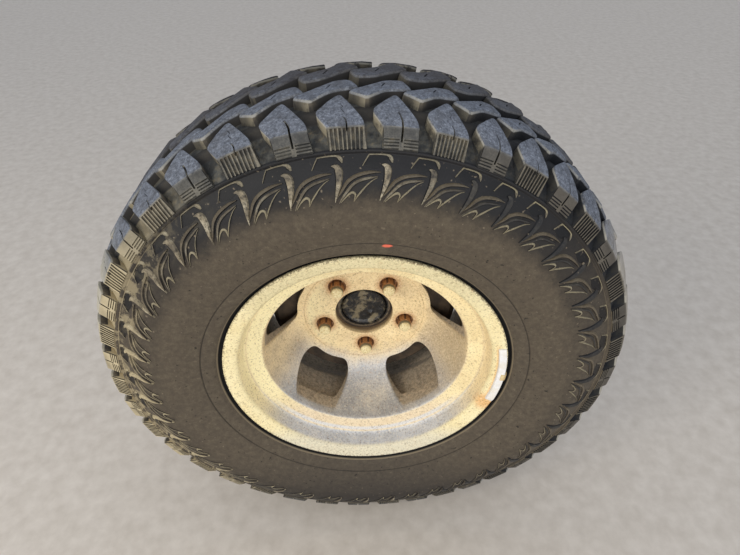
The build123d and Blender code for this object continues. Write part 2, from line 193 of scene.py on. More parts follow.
def dress(name, material, edge):
    """Finish on a CAD piece as it is, with its edges eased by a width in millimetres."""
    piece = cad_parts[name]
    piece.data.materials.clear()
    piece.data.materials.append(material)
    ease_edges(piece, edge * MM, 2, 32)


housing_skin = cast_skin("housing cast iron", srgb(58, 47, 40), srgb(92, 74, 60), srgb(126, 106, 84))
dress("housing_end", housing_skin, 1.2)


# Wheel bearing: a hardened and ground steel ring, pressed into the housing end.
# Only its end face shows, with a film of grease.
bearing_skin = cast_skin(
    "bearing ring", srgb(112, 108, 104), srgb(150, 148, 145), srgb(88, 74, 60), roughness=0.4, depth=0.05)
dress("wheel_bearing", bearing_skin, 0.4)


# T-bolts: four square-headed steel bolts and nuts that hold the backing plate on the housing end.
# Their zinc has gone and they are lightly rusted.
bolt_skin = cast_skin(
    "rusty bolts", srgb(96, 66, 44), srgb(134, 100, 72), srgb(120, 96, 74), roughness=0.75, depth=0.2)
dress("t_bolts", bolt_skin, 0.5)


# Backing plate: a pressed steel disc that closes the drum from behind, painted black.
# The paint is worn through to rust where stones hit it.
plate_skin = cast_skin(
    "worn black paint", srgb(38, 36, 34), srgb(52, 48, 45), srgb(112, 92, 72),
    roughness=0.6, depth=0.15, size=5.0)
dress("backing_plate", plate_skin, 0.6)


# Axle shaft: a forged steel shaft whose flange carries the drum and the wheel on five studs.
# The open end in the middle of the wheel is black with grease, with dust stuck to it.
HUB_FACE = -122.0
HUB_RECESS = 36.0


def fade(value, start, end):
    """0 below start, 1 above end, and smooth between; start may be the larger one."""
    feed = {"Value": value, "From Min": start, "From Max": end}
    return add("MapRange", feed, interpolation_type="SMOOTHSTEP").outputs[0]


def distance(across, up):
    """Length of the straight line that runs this far across and this far up."""
    return maths("SQRT", maths("ADD", times(across, across), times(up, up)))


def about_wheel(spot):
    """Distance from the axle, place across, along it and up, and angle round it, from the piece's place."""
    x, y, z = add("SeparateXYZ", {0: spot}).outputs
    return distance(x, z), x, y, z, maths("ARCTAN2", z, x)


def shade(work, sharp):
    """Smooth shading except at edges sharper than an angle in degrees."""
    for face in work.faces:
        face.smooth = True
    for edge in work.edges:
        edge.smooth = len(edge.link_faces) == 2 and edge.calc_face_angle(0) < radians(sharp)


def mesh_object(name, work, material, sharp=34.0, keep_edges=False):
    """Object from a bmesh, with its edges shaded as shade says unless they already are."""
    if not keep_edges:
        shade(work, sharp)
    mesh = bpy.data.meshes.new(name)
    work.to_mesh(mesh)
    work.free()
    mesh.materials.append(material)
    made = bpy.data.objects.new(name, mesh)
    bpy.context.collection.objects.link(made)
    return made


def outwards(work):
    """Turns every face outwards."""
    bmesh.ops.recalc_face_normals(work, faces=work.faces)
    return work


def between(work, rows):
    """Faces from each ring of points to the next."""
    for here, there in zip(rows, rows[1:]):
        for n in range(len(here)):
            m = (n + 1) % len(here)
            work.faces.new((here[n], here[m], there[m], there[n]))


grease, tree, shader = new_material("greasy hub steel")
broad, fine = wear(tree, 3.0)
spot = place(tree)
radius = about_wheel(spot)[0]
smear = steps(broad, (0.44, srgb(8, 8, 10)), (0.53, srgb(20, 20, 22)), (0.62, srgb(112, 103, 82)))
smear = coat(smear, srgb(116, 98, 76), steps(fine, (0.58, 0.0), (0.7, 0.5)))
ring_edge = times(fade(radius, 0.0404, 0.0416), steps(fine, (0.3, 0.3), (0.6, 0.9)))
tree.links.new(coat(smear, srgb(112, 98, 80), ring_edge), shader.inputs["Base Color"])
tree.links.new(steps(fine, (0.35, 0.2), (0.65, 0.6)), shader.inputs["Roughness"])
relief(shader, fine, 0.6)
dress("axle_shaft", grease, 0.8)

# Grease and dirt on the bottom of the shaft's recess, with a centre-drill hole and a cast pip
PIP = (10.5, -15.0)
DRILL_HOLE = (1.5, 19.0)
GREASE_DEPTH = 3.4
GREASE_FOOT = 6.5
RING_STEPS = 22
ROUND_STEPS = 72


def grease_rise(x, z):
    """Height of the grease at a point of the recess, in millimetres towards the wheel's face."""
    lump = noise.noise(Vector((x / 11, z / 11, 4.0))) * 0.9 + noise.noise(Vector((x / 4, z / 4, 9.0))) * 0.5
    from_pip = hypot(x - PIP[0], z - PIP[1])
    from_hole = hypot(x - DRILL_HOLE[0], z - DRILL_HOLE[1])
    pip = max(0.0, 1 - (from_pip / 5.2) ** 4) * 2.2
    dimple = max(0.0, 1 - (from_hole / 4.4) ** 4) * -2.6
    ring_round_hole = max(0.0, 1 - abs(from_hole - 6.0) / 1.6) * 1.2
    up_the_wall = max(0.0, (hypot(x, z) - 30) / 6) ** 2 * 3.1
    return lump + pip + dimple + ring_round_hole + up_the_wall


work = bmesh.new()
layers = []
for ring in range(RING_STEPS + 1):
    out = HUB_RECESS * ring / RING_STEPS
    row = []
    for s in range(ROUND_STEPS):
        x, z = out * cos(2 * pi * s / ROUND_STEPS), out * sin(2 * pi * s / ROUND_STEPS)
        row.append(work.verts.new((x * MM, (HUB_FACE + GREASE_DEPTH - grease_rise(x, z)) * MM, z * MM)))
    layers.append(row)
layers.append([work.verts.new((vert.co.x, (HUB_FACE + GREASE_FOOT) * MM, vert.co.z)) for vert in layers[-1]])
between(work, layers)
work.faces.new(layers[-1])
bmesh.ops.remove_doubles(work, verts=layers[0], dist=0.0001)
hub_grease = mesh_object("hub_grease", outwards(work), grease, 60)
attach(hub_grease, "wheel")


# Brake drum: a grey iron casting between the shaft's flange and the wheel.
# It shows through the rim's windows and from behind, dark with old brake dust.
drum_skin = cast_skin(
    "drum iron", srgb(44, 38, 32), srgb(66, 54, 44), srgb(92, 76, 58), roughness=0.8, depth=0.4, size=4.0)
dress("brake_drum", drum_skin, 1.0)


# Rim: one aluminium casting with a wide lip, a stepped barrel, and a deep bowl with five windows.
# Its lacquer is gone: fine dust has dried on every ledge, and the nuts have bled rust on to the pad.
ROUND_RIM = 240
WALL = 7.0
BOWL_WALL = 10.0
# Places of its two edges along the axle
FRONT = -270.0
BACK = -41.4
# Radii
FLANGE = 207.4
SEAT = 190.1
WELL = 172.0
LEDGE = 155.1
PAD = 92.0
STUD_CIRCLE = 69.85
BORE = 47.3
STUD_HOLE = 8.6
# Depths behind the front edge, and the power that the bowl's depth grows by
LEDGE_DEPTH = 38.5
PAD_DEPTH = 134.0
DISC_BACK = 149.0
BOWL_CURVE = 2.4
# Degrees that the studs stand turned, and between two of them
PHASE = 1.89
FIFTH = 72.0
RUST = srgb(182, 120, 68)
# Where the rust runs from the outer weight, in metres
WEIGHT_FOOT = (0.1845, -0.2685, -0.072)


def bowl_depth(radius):
    """Depth of the bowl's face behind the lip."""
    share = max(radius - PAD, 0) / (LEDGE - PAD)
    return PAD_DEPTH - (PAD_DEPTH - LEDGE_DEPTH) * share ** BOWL_CURVE


def behind_bowl(radius):
    """Point one wall's thickness behind the bowl's face."""
    rise = bowl_depth(radius + 0.5) - bowl_depth(radius - 0.5)
    length = hypot(1, rise)
    return radius - BOWL_WALL * rise / length, FRONT + bowl_depth(radius) + BOWL_WALL / length


def eased(corners, bends=4):
    """Closed outline from (across, along, radius) corners, each rounded by its radius."""
    points = []
    for n, (across, along, radius) in enumerate(corners):
        here = Vector((across, along))
        before = Vector(corners[n - 1][:2]) - here
        after = Vector(corners[(n + 1) % len(corners)][:2]) - here
        reach = min(radius, before.length * 0.48, after.length * 0.48)
        if reach <= 0:
            points.append(here)
            continue
        start = here + before.normalized() * reach
        end = here + after.normalized() * reach
        for k in range(bends + 1):
            t = k / bends
            points.append(start * (1 - t) ** 2 + here * (2 * t * (1 - t)) + end * t ** 2)
    return points


def rim_section():
    """Rim's outline: outer flange, tyre side, back through the barrel and down the bowl."""
    slope = FLANGE - 7.3
    inner = SEAT - WALL
    well_in = WELL - WALL
    tyre_side = [
        (FLANGE, FRONT, 2.6), (FLANGE, FRONT + 6.5, 3.0), (slope, FRONT + 12.7, 4.0),
        (SEAT, FRONT + 12.7, 3.0), (SEAT, FRONT + 33, 5.0), (WELL, FRONT + 52, 6.0),
        (WELL, FRONT + 136.6, 6.0), (SEAT, FRONT + 160.6, 5.0), (SEAT, BACK - 12.7, 3.0),
        (slope, BACK - 12.7, 4.0), (FLANGE, BACK - 6.5, 3.0), (FLANGE, BACK, 2.6)]
    barrel = [
        (186.4, BACK - 4.6, 4.0), (inner, BACK - 12.7, 3.0), (inner, FRONT + 162.8, 6.0),
        (well_in, FRONT + 138.8, 6.0), (well_in, FRONT + 52, 6.0)]
    back_shares = (0.92, 0.84, 0.74, 0.64, 0.52, 0.4, 0.26, 0.12, 0)
    back = [(*behind_bowl(PAD + share * (LEDGE - PAD)), 0) for share in back_shares]
    seat = [(PAD - 4, FRONT + DISC_BACK, 2.0), (BORE, FRONT + DISC_BACK, 1.0),
            (BORE, FRONT + PAD_DEPTH, 2.0)]
    pad = [(PAD - 0.8, FRONT + PAD_DEPTH, 0), (PAD + 0.6, FRONT + PAD_DEPTH - 0.9, 0)]
    face = []
    for n in range(1, 16):
        out = PAD + (LEDGE - PAD) * n / 16
        face.append((out, FRONT + bowl_depth(out) - 0.9 * (1 - n / 16), 0))
    lip = [(LEDGE, FRONT + LEDGE_DEPTH, 2.0), (180.3, FRONT + 31.1, 7.0), (186.4, FRONT + 4.6, 5.0)]
    return eased(tyre_side + barrel + back + seat + pad + face + lip)


def closed(work, rows):
    """Solid through rings of points, with both ends filled."""
    between(work, rows)
    work.faces.new(rows[0])
    work.faces.new(rows[-1])
    return outwards(work)


def turned(outline, segments):
    """Ring turned about the wheel's axis from a closed (radius, y) outline in millimetres."""
    work = bmesh.new()
    rings = []
    for s in range(segments):
        angle = 2 * pi * s / segments
        ring = [work.verts.new((r * cos(angle) * MM, y * MM, r * sin(angle) * MM)) for r, y in outline]
        rings.append(ring)
    between(work, rings + rings[:1])
    return work


def prism(outline, low, high):
    """Solid with an (x, z) outline in millimetres, running along the axle."""
    work = bmesh.new()
    near = [work.verts.new((x * MM, low * MM, z * MM)) for x, z in outline]
    far = [work.verts.new((x * MM, high * MM, z * MM)) for x, z in outline]
    return closed(work, [near, far])


def window_outline(middle):
    """A window's outline: round-cornered towards the pad, bulging, then narrower towards the ledge."""
    table = [  # radius, angle from the middle, rounding
        (110.0, -17.5, 9.0), (112.5, 0.0, 20.0), (110.0, 17.5, 9.0), (128.0, 21.2, 12.0),
        (143.0, 18.4, 14.0), (153.4, 14.0, 5.0), (153.9, 5.0, 12.0), (153.9, -5.0, 12.0),
        (153.4, -14.0, 5.0), (143.0, -18.4, 14.0), (128.0, -21.2, 12.0)]
    corners = []
    for radius, offset, bend in table:
        angle = radians(middle + offset)
        corners.append((radius * cos(angle), radius * sin(angle), bend))
    return eased(corners, 6)


def turned_bar(outline, sides, x, z, spin=0.0):
    """Solid turned about a line along the axle at (x, z), from an open (radius, y) outline."""
    work = bmesh.new()
    rings = []
    for out, y in outline:
        ring = []
        for s in range(sides):
            angle = 2 * pi * s / sides + spin
            ring.append(work.verts.new(((x + out * cos(angle)) * MM, y * MM, (z + out * sin(angle)) * MM)))
        rings.append(ring)
    return closed(work, rings)


def pour(joined, solid):
    """Adds a solid to others."""
    mesh = bpy.data.meshes.new("solid")
    solid.to_mesh(mesh)
    solid.free()
    joined.from_mesh(mesh)
    bpy.data.meshes.remove(mesh)


def cut(target, tools, operation="DIFFERENCE"):
    """Target cut by solids that don't touch each other, made final."""
    joined = bmesh.new()
    for tool in tools:
        pour(joined, tool)
    tool_mesh = bpy.data.meshes.new("tools")
    joined.to_mesh(tool_mesh)
    joined.free()
    tool_object = bpy.data.objects.new("tools", tool_mesh)
    bpy.context.collection.objects.link(tool_object)
    step = target.modifiers.new("cut", "BOOLEAN")
    step.operation = operation
    step.solver = "EXACT"
    step.object = tool_object
    settle(target)
    bpy.data.objects.remove(tool_object)
    return target


def settle(target):
    """Makes the piece's modifiers final."""
    graph = bpy.context.evaluated_depsgraph_get()
    mesh = bpy.data.meshes.new_from_object(target.evaluated_get(graph))
    target.modifiers.clear()
    target.data = mesh
    return target


def soften(target, width, segments, angle, weld=0.0):
    """Rounds the piece's sharp edges by a width in millimetres, for good."""
    if weld:
        tidy = target.modifiers.new("weld", "WELD")
        tidy.merge_threshold = weld * MM
    ease_edges(target, width * MM, segments, angle, clamp=False)
    return settle(target)


def smooth_faces(target, sharp):
    """Shades a final mesh smooth except at its sharp edges."""
    work = bmesh.new()
    work.from_mesh(target.data)
    shade(work, sharp)
    work.to_mesh(target.data)
    work.free()


def stud_spots():
    """Centres of the five studs."""
    spots = []
    for n in range(5):
        angle = radians(270 + PHASE + FIFTH * n)
        spots.append((STUD_CIRCLE * cos(angle), STUD_CIRCLE * sin(angle)))
    return spots


def most(largest, *others):
    """Largest of several shares."""
    for other in others:
        largest = maths("MAXIMUM", largest, other)
    return largest


def spread(value, start, end, low, high):
    """Straight run from low at start to high at end, level beyond both."""
    feed = {"Value": value, "From Min": start, "From Max": end, "To Min": low, "To Max": high}
    return add("MapRange", feed).outputs[0]


def band(value, start, low, high, end):
    """0 up to start, 1 from low to high and 0 again from end, smooth between."""
    return times(fade(value, start, low), fade(value, end, high))


def frayed(value, pattern, amount):
    """Value shifted up and down by a pattern, so that an edge found from it comes out ragged."""
    return maths("ADD", value, times(maths("SUBTRACT", pattern, 0.5), amount))


def from_stud(radius, turn):
    """Distance from the nearest stud's centre line, in metres."""
    from_first = maths("SUBTRACT", turn, radians(PHASE - 90 - FIFTH / 2))
    share = maths("FRACT", times(from_first, 1 / radians(FIFTH)))
    folded = times(maths("SUBTRACT", share, 0.5), radians(FIFTH))
    across = maths("SUBTRACT", times(radius, maths("COSINE", folded)), STUD_CIRCLE * MM)
    return distance(across, times(radius, maths("SINE", folded)))


cast, tree, shader = new_material("dusty cast aluminium")
spot = place(tree)
radius, across, along, height, turn = about_wheel(spot)
depth = maths("SUBTRACT", along, FRONT * MM)
cloud = grain(spot, 42, detail=5)
pits = grain(spot, 3.0, detail=4, rough=0.8)
freckles = grain(spot, 5.5, detail=6, rough=0.8)
metal_grey = steps(cloud, (0.32, srgb(176, 167, 152)), (0.68, srgb(204, 192, 172)))
# The cool greys are a painted sky reflection on the lower part of the rim, duller at the foot of the lowest
# spoke.
sky_reflection_grey = steps(cloud, (0.32, srgb(184, 187, 192)), (0.68, srgb(212, 215, 220)))
dull_grey = steps(cloud, (0.32, srgb(150, 149, 149)), (0.68, srgb(184, 183, 182)))
spoke_foot = times(fade(height, -0.115, -0.145), fade(radius, 0.157, 0.153))
sky_reflection_grey = coat(sky_reflection_grey, dull_grey, spoke_foot)
reflects_sky_low = fade(height, -0.04, -0.09)
bare_metal_and_reflection = coat(metal_grey, sky_reflection_grey, reflects_sky_low)
beige = steps(cloud, (0.3, srgb(226, 200, 152)), (0.7, srgb(250, 228, 180)))
cream = steps(cloud, (0.3, srgb(234, 218, 166)), (0.7, srgb(246, 235, 190)))
# Beige dust near the pad; on the upper half, dust together with painted warm light from the ground.
upper_dust_and_warm_light = fade(height, -0.125, 0.03)
near_pad = fade(radius, 0.126, 0.088)
dusty = maths("ADD", times(upper_dust_and_warm_light, 0.75), times(near_pad, 0.75), clamp=True)
uneven = maths("ADD", dusty, maths("SUBTRACT", cloud, 0.5), clamp=True)
skin = coat(bare_metal_and_reflection, beige, uneven)
on_ledge = times(fade(radius, 0.1545, 0.158), fade(depth, 0.0295, 0.0325))
ledge_dust = times(on_ledge, steps(cloud, (0.2, 0.75), (0.6, 1.0)))
skin = coat(skin, beige, ledge_dust)
skin = coat(skin, cream, ledge_dust, 0.7)
low_ledge = fade(height, -0.08, -0.14)
skin = coat(skin, srgb(222, 203, 178), ledge_dust, low_ledge, 0.75)
# Painted highlight: a pale cool band along the rounded outer edge of the ledge, low down.
ledge_edge_highlight = band(radius, 0.169, 0.172, 0.175, 0.1775)
skin = coat(skin, srgb(210, 214, 220), ledge_edge_highlight, low_ledge, 0.8)
on_step = times(fade(radius, 0.177, 0.18), fade(depth, 0.031, 0.029))
# Cream dust and painted light on the step wall: paler at the top than at the bottom.
step_dust_and_light = times(on_step, fade(height, -0.15, -0.06), 0.75)
skin = coat(skin, srgb(250, 228, 178), step_dust_and_light)
on_lip = fade(radius, 0.1845, 0.1865)
lip_dust = coat(cream, srgb(210, 200, 160), fade(height, 0.09, 0.16), 0.8)
lip_dust = coat(lip_dust, srgb(208, 205, 190), fade(height, -0.12, -0.17), 0.75)
skin = coat(skin, lip_dust, on_lip)
flat_parts = most(on_ledge, on_step, fade(radius, 0.097, 0.09))
flat_parts = times(flat_parts, maths("SUBTRACT", 1.0, on_lip))
# Painted light: the ledge, step and pad made paler on the left, where they fall in shade.
painted_light_left = times(fade(across, -0.02, -0.12), fade(height, -0.14, -0.04))
skin = coat(skin, srgb(255, 244, 194), painted_light_left, flat_parts, 0.75)
right_bowl = band(radius, 0.1, 0.108, 0.152, 0.156)
skin = coat(skin, srgb(176, 158, 130), right_bowl, fade(across, 0.06, 0.12), 0.45)
pad_edge = band(radius, 0.0975, 0.0985, 0.0993, 0.1003)
skin = coat(skin, srgb(186, 150, 106), pad_edge, steps(cloud, (0.35, 0.15), (0.6, 0.5)))
lip_grime = times(fade(radius, 0.2035, 0.2066), steps(pits, (0.47, 0.0), (0.55, 0.8)))
skin = coat(skin, srgb(96, 84, 66), lip_grime)
ragged = frayed(from_stud(radius, turn), freckles, 0.012)
stain = times(fade(ragged, 0.026, 0.0125), fade(depth, 0.11, 0.128))
skin = coat(skin, RUST, stain, 0.62)
skin = coat(skin, srgb(132, 82, 44), stain, fade(depth, 0.1345, 0.1355))
weight_foot = add("VectorMath", {0: spot, 1: WEIGHT_FOOT}, operation="DISTANCE").outputs["Value"]
drips = fade(frayed(weight_foot, freckles, 0.022), 0.024, 0.008)
beside = band(turn, radians(-26), radians(-19), radians(10), radians(16))
beside = times(beside, band(radius, 0.1905, 0.1935, 0.1955, 0.1985))
weight_rust = most(times(drips, 0.7), times(beside, 0.5))
skin = coat(skin, srgb(226, 164, 92), weight_rust)
bowl_share = maths("POWER", spread(radius, PAD * MM, LEDGE * MM, 0.0, 1.0), BOWL_CURVE)
bowl_here = spread(bowl_share, 0.0, 1.0, PAD_DEPTH * MM, LEDGE_DEPTH * MM)
inside = fade(maths("SUBTRACT", depth, bowl_here), 0.003, 0.011)
barrel_dirt_and_shade = steps(freckles, (0.34, srgb(122, 114, 102)), (0.5, srgb(176, 163, 144)),
                    (0.66, srgb(212, 196, 172)))
# Painted shade: near-black over the dirt behind the upper windows.
barrel_dirt_and_shade = coat(barrel_dirt_and_shade, srgb(44, 38, 31), fade(height, 0.02, 0.1))
barrel_dirt_and_shade = coat(barrel_dirt_and_shade, srgb(140, 120, 94), fade(radius, 0.0485, 0.0477))
skin = coat(skin, barrel_dirt_and_shade, inside)
specks = steps(pits, (0.53, 0.0), (0.66, 0.7))
skin = coat(skin, srgb(128, 106, 78), specks)
pale_specks = steps(pits, (0.34, 0.6), (0.46, 0.0))
skin = coat(skin, srgb(246, 232, 200), pale_specks, maths("SUBTRACT", 1.0, inside))
brown_specks = steps(freckles, (0.56, 0.0), (0.7, 0.5))
skin = coat(skin, srgb(186, 140, 92), brown_specks)
tree.links.new(skin, shader.inputs["Base Color"])
tree.links.new(steps(uneven, (0.0, 0.56), (1.0, 0.85)), shader.inputs["Roughness"])
under_dust = most(uneven, on_lip, ledge_dust)
tree.links.new(steps(under_dust, (0.0, 0.3), (0.6, 0.0)), shader.inputs["Metallic"])
relief(shader, pits, 0.4)

rim = mesh_object("cast_rim", outwards(turned(rim_section(), ROUND_RIM)), cast)
windows = [window_outline(90 + PHASE + FIFTH * n) for n in range(5)]
cut(rim, [prism(window, FRONT + 36, FRONT + 165) for window in windows])
soften(rim, 1.5, 3, 38.0, 0.3)
# Counterbore: (radius, depth from the pad's face)
COUNTERBORE = [(15.6, -6.0), (15.6, -0.6), (14.4, 0.5), (14.0, 1.4), (14.0, 3.2), (13.2, 4.0)]
seat = [(out, FRONT + PAD_DEPTH + deep) for out, deep in COUNTERBORE]
cut(rim, [turned_bar(seat, 40, x, z) for x, z in stud_spots()])
hole = [(STUD_HOLE, FRONT + PAD_DEPTH), (STUD_HOLE, FRONT + DISC_BACK + 6)]
cut(rim, [turned_bar(hole, 28, x, z) for x, z in stud_spots()])
smooth_faces(rim, 38)
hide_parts("rim")
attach(rim, "wheel")


# Valve: a short brass stem through the well wall over the top window, with a threaded end and a cap.
# The brass is dull and dusty.
brass = cast_skin(
    "dusty brass", srgb(122, 100, 60), srgb(160, 136, 88), srgb(150, 130, 100),
    roughness=0.55, depth=0.1, size=2.0)
VALVE_DEPTH = 84.0
THREAD_FOOT = 9.0
THREAD_PITCH = 1.1
CAP_FOOT = 15.0
CAP_TOP = 24.0
CAP_SIDES = 28
KNURL_DEPTH = 0.25
stem = [(9.0, -3.5), (9.0, 0.0), (4.6, 0.0), (4.0, 1.0), (4.0, THREAD_FOOT)]
for n in range(5):
    groove = THREAD_FOOT + 0.4 + n * THREAD_PITCH
    stem += [(3.5, groove), (4.0, groove + THREAD_PITCH / 2)]
stem += [(4.0, CAP_FOOT), (4.8, CAP_FOOT + 0.2), (4.8, CAP_TOP - 0.4), (4.0, CAP_TOP + 0.8)]
stem += [(0.01, CAP_TOP + 1.0)]
work = bmesh.new()
rings = []
for out, up in stem:
    knurl = KNURL_DEPTH if CAP_FOOT < up < CAP_TOP else 0.0
    ring = []
    for s in range(CAP_SIDES):
        angle = 2 * pi * s / CAP_SIDES
        reach = out - knurl * (s % 2)
        ring.append(work.verts.new((reach * cos(angle) * MM, reach * sin(angle) * MM, up * MM)))
    rings.append(ring)
closed(work, rings)
to_axle = Vector((-cos(radians(90 + PHASE)), 0, -sin(radians(90 + PHASE))))
along_axle = Vector((0, 1, 0))
seating = Matrix((along_axle, to_axle.cross(along_axle), to_axle)).transposed().to_4x4()
seating.translation = (-to_axle * WELL + Vector((0, FRONT + VALVE_DEPTH, 0))) * MM
bmesh.ops.transform(work, matrix=seating, verts=work.verts)
valve = mesh_object("valve_and_cap", work, brass, 30)
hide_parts("valve")
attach(valve, "wheel")


# Wheel nuts: five long closed nuts, turned and chamfered, screwed down into the pad's counterbores.
# Their plating has worn off the hexagons, which have rusted; dust lies on the round tips.
NUT_FOOT = FRONT + PAD_DEPTH + 4.0
NUT_FLATS = 21.0
nut_skin, tree, shader = new_material("rusty nut, dusty tip", 0.72)
spot = place(tree)
radius, _, along, _, turn = about_wheel(spot)
fine = grain(spot, 2.2, detail=5, rough=0.7)
hexagon_rust = steps(fine, (0.3, srgb(104, 62, 30)), (0.55, srgb(158, 108, 62)),
                     (0.75, srgb(204, 160, 108)))
tip_dust = steps(fine, (0.32, srgb(196, 158, 104)), (0.46, srgb(218, 202, 152)),
                 (0.62, srgb(244, 232, 192)))
at_corner = fade(from_stud(radius, turn), 0.0109, 0.0117)
hexagon_rust = coat(hexagon_rust, srgb(66, 34, 12), at_corner)
collar = steps(fine, (0.3, srgb(96, 86, 62)), (0.7, srgb(138, 124, 94)))
at_collar = fade(along, (NUT_FOOT - 14.6) * MM, (NUT_FOOT - 15.6) * MM)
at_tip = fade(along, (NUT_FOOT - 19.6) * MM, (NUT_FOOT - 20.6) * MM)
nut_tone = coat(hexagon_rust, collar, at_collar)
tree.links.new(coat(nut_tone, tip_dust, at_tip), shader.inputs["Base Color"])
relief(shader, fine, 0.25)

# Outlines are (radius, height over the seat). The hexagon is cut to its chamfers.
# The shank and the tip are one bar that runs through it.
HEXAGON_TOP = 15.0
CHAMFERS = [(10.6, -0.2), (12.3, 1.2), (12.3, 12.6), (9.9, 15.2)]
SHANK_AND_TIP = [
    (8.3, -8.0), (8.3, 2.0), (10.0, 14.0), (10.0, 18.8), (9.5, 19.8), (8.9, 20.4), (8.9, 21.3),
    (8.4, 22.4), (6.8, 23.4), (3.6, 23.9), (0.6, 24.0)]


def nut_bar(outline, sides, x, z, spin=0.0):
    """Solid turned about a stud, from (radius, height over the seat) points."""
    return turned_bar([(out, NUT_FOOT - up) for out, up in outline], sides, x, z, spin)


all_nuts = bmesh.new()
corner = NUT_FLATS / 2 / cos(radians(30))
for n, (x, z) in enumerate(stud_spots()):
    stopped_at = radians(17 * n + 9)
    hexagon = nut_bar([(corner, 0.0), (corner, HEXAGON_TOP)], 6, x, z, stopped_at)
    body = mesh_object("nut", hexagon, nut_skin)
    cut(body, [nut_bar(CHAMFERS, 40, x, z)], "INTERSECT")
    soften(body, 0.35, 2, 25)
    all_nuts.from_mesh(body.data)
    bpy.data.objects.remove(body)
    pour(all_nuts, nut_bar(SHANK_AND_TIP, 36, x, z))
nuts = mesh_object("wheel_nuts", all_nuts, nut_skin, 28)
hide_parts("lug_nuts")
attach(nuts, "wheel")


# Tyre: a moulded mud tyre on two beads, its open tread made of separate tall lugs.
# First the casing, turned in one piece: crown, ring line, bulging walls and beads.
WHEEL_MIDDLE = -155.7
GROOVE = 378.5
ROUND_TYRE = 240
# Across and up from the axle, in metres
PAINT_MARK = (0.0264, 0.2312)
# Lugs round the tyre, and the waves in their spacing
PITCHES = 40
FIRST_PITCH = 94.5
PITCH = 360 / PITCHES
WAVES = 3
WAVE_PLACE = 85.5
WAVE_SWING = 1.9


def wall_outline():
    """Half of the casing, crown to bead: (distance from the middle plane, radius, rounding)."""
    outer = [
        (56.0, GROOVE + 0.2, 8.0), (72.0, GROOVE, 14.0), (110.2, 352.4, 1.5), (113.6, 351.4, 1.0),
        (114.2, 349.2, 1.0), (113.2, 346.4, 1.0), (113.8, 345.4, 0.8), (122.5, 332.0, 12.0),
        (132.2, 313.0, 14.0), (135.4, 290.0, 22.0), (132.6, 262.0, 20.0), (125.4, 238.0, 10.0),
        (124.9, 236.6, 0.5), (123.4, 235.8, 0.5), (123.6, 234.2, 0.5), (121.6, 226.0, 4.0),
        (118.8, 218.4, 4.0), (115.4, 214.4, 0.9), (114.0, 213.2, 0.9), (108.6, 211.4, 2.0),
        (107.0, 208.6, 0.8)]
    bead = [(105.6, 205.4, 1.0), (101.6, 200.2, 3.0), (101.5, 190.3, 4.0), (84.0, 190.3, 5.0)]
    inner = [(116.0, 232.0, 30.0), (126.0, 290.0, 40.0), (103.0, 346.0, 20.0), (70.0, GROOVE - 11.0, 12.0)]
    return outer, bead, inner


def casing_section():
    """The whole casing's outline, the half and its mirror image."""
    outer, bead, inner = wall_outline()
    half = outer + bead + inner
    near = [(r, WHEEL_MIDDLE - w, bend) for w, r, bend in half]
    far = [(r, WHEEL_MIDDLE + w, bend) for w, r, bend in reversed(half)]
    return eased(near + far, 3)


def wall_width(radius):
    """Distance of the outer wall from the middle plane at a radius."""
    outer = wall_outline()[0]
    for (w_high, r_high, _), (w_low, r_low, _) in zip(outer, outer[1:]):
        if r_low <= radius <= r_high:
            return w_low + (w_high - w_low) * (radius - r_low) / (r_high - r_low)
    return outer[-1][0]


def warp(angle):
    """Angle at which a lug stands: the spacing swells and shrinks in waves round the tyre."""
    return angle - WAVE_SWING * cos(radians(WAVES * (angle - WAVE_PLACE)))


# Moulded figures on the wall, one set to a lug. A ridge of each kind takes dust, painted light and painted
# shade in its own way.
CLAW, CRISP, ROOF, OUTER_LEAF, PLAIN = 1.0, 0.75, 0.5, 0.25, 0.0
FIGURES = [
    # height, dust on it (below 0: painted shade, a dark field), kind,
    # then its points: angle from the lug's own place, radius, width in millimetres
    (0.25, -1.0, PLAIN,
     [(-2.5, 336.2, 2.0), (-3.5, 338.2, 9.0), (-4.9, 338.6, 11.5), (-6.1, 340.4, 8.0), (-7.0, 341.6, 2.5)]),
    (1.3, 0.85, ROOF,
     [(-2.3, 335.0, 1.2), (-3.4, 344.2, 1.7), (-3.9, 345.4, 1.8), (-6.6, 345.4, 2.2), (-7.4, 342.4, 5.0),
      (-7.7, 338.6, 1.6)]),
    (2.0, 1.0, CLAW,
     [(-5.8, 336.4, 0.8), (-6.4, 335.8, 4.8), (-6.9, 332.8, 8.8), (-6.95, 327.2, 8.6), (-6.75, 320.0, 6.8),
      (-6.25, 311.0, 4.0), (-5.7, 300.5, 0.8)]),
    (2.2, 0.8, OUTER_LEAF,
     [(3.1, 303.5, 0.8), (1.5, 314.0, 3.4), (0.4, 321.0, 4.4), (-1.3, 326.2, 4.4), (-3.8, 329.2, 3.6),
      (-5.7, 329.6, 0.8)]),
    (1.4, 0.75, PLAIN,
     [(2.5, 298.5, 0.8), (1.3, 307.5, 2.6), (-0.3, 317.0, 3.4), (-1.9, 321.6, 3.4), (-3.9, 324.0, 2.6),
      (-5.2, 325.4, 0.8)]),
    (1.2, 0.9, CRISP,
     [(-0.5, 299.8, 0.8), (-1.4, 306.6, 1.6), (-2.8, 315.2, 1.6), (-4.2, 321.6, 1.3), (-5.1, 324.0, 0.6)]),
    (1.3, 1.0, CRISP,
     [(2.2, 299.0, 0.8), (0.9, 306.0, 1.8), (-0.2, 309.6, 2.6), (-0.75, 307.0, 2.2), (-0.4, 299.6, 0.8)]),
]


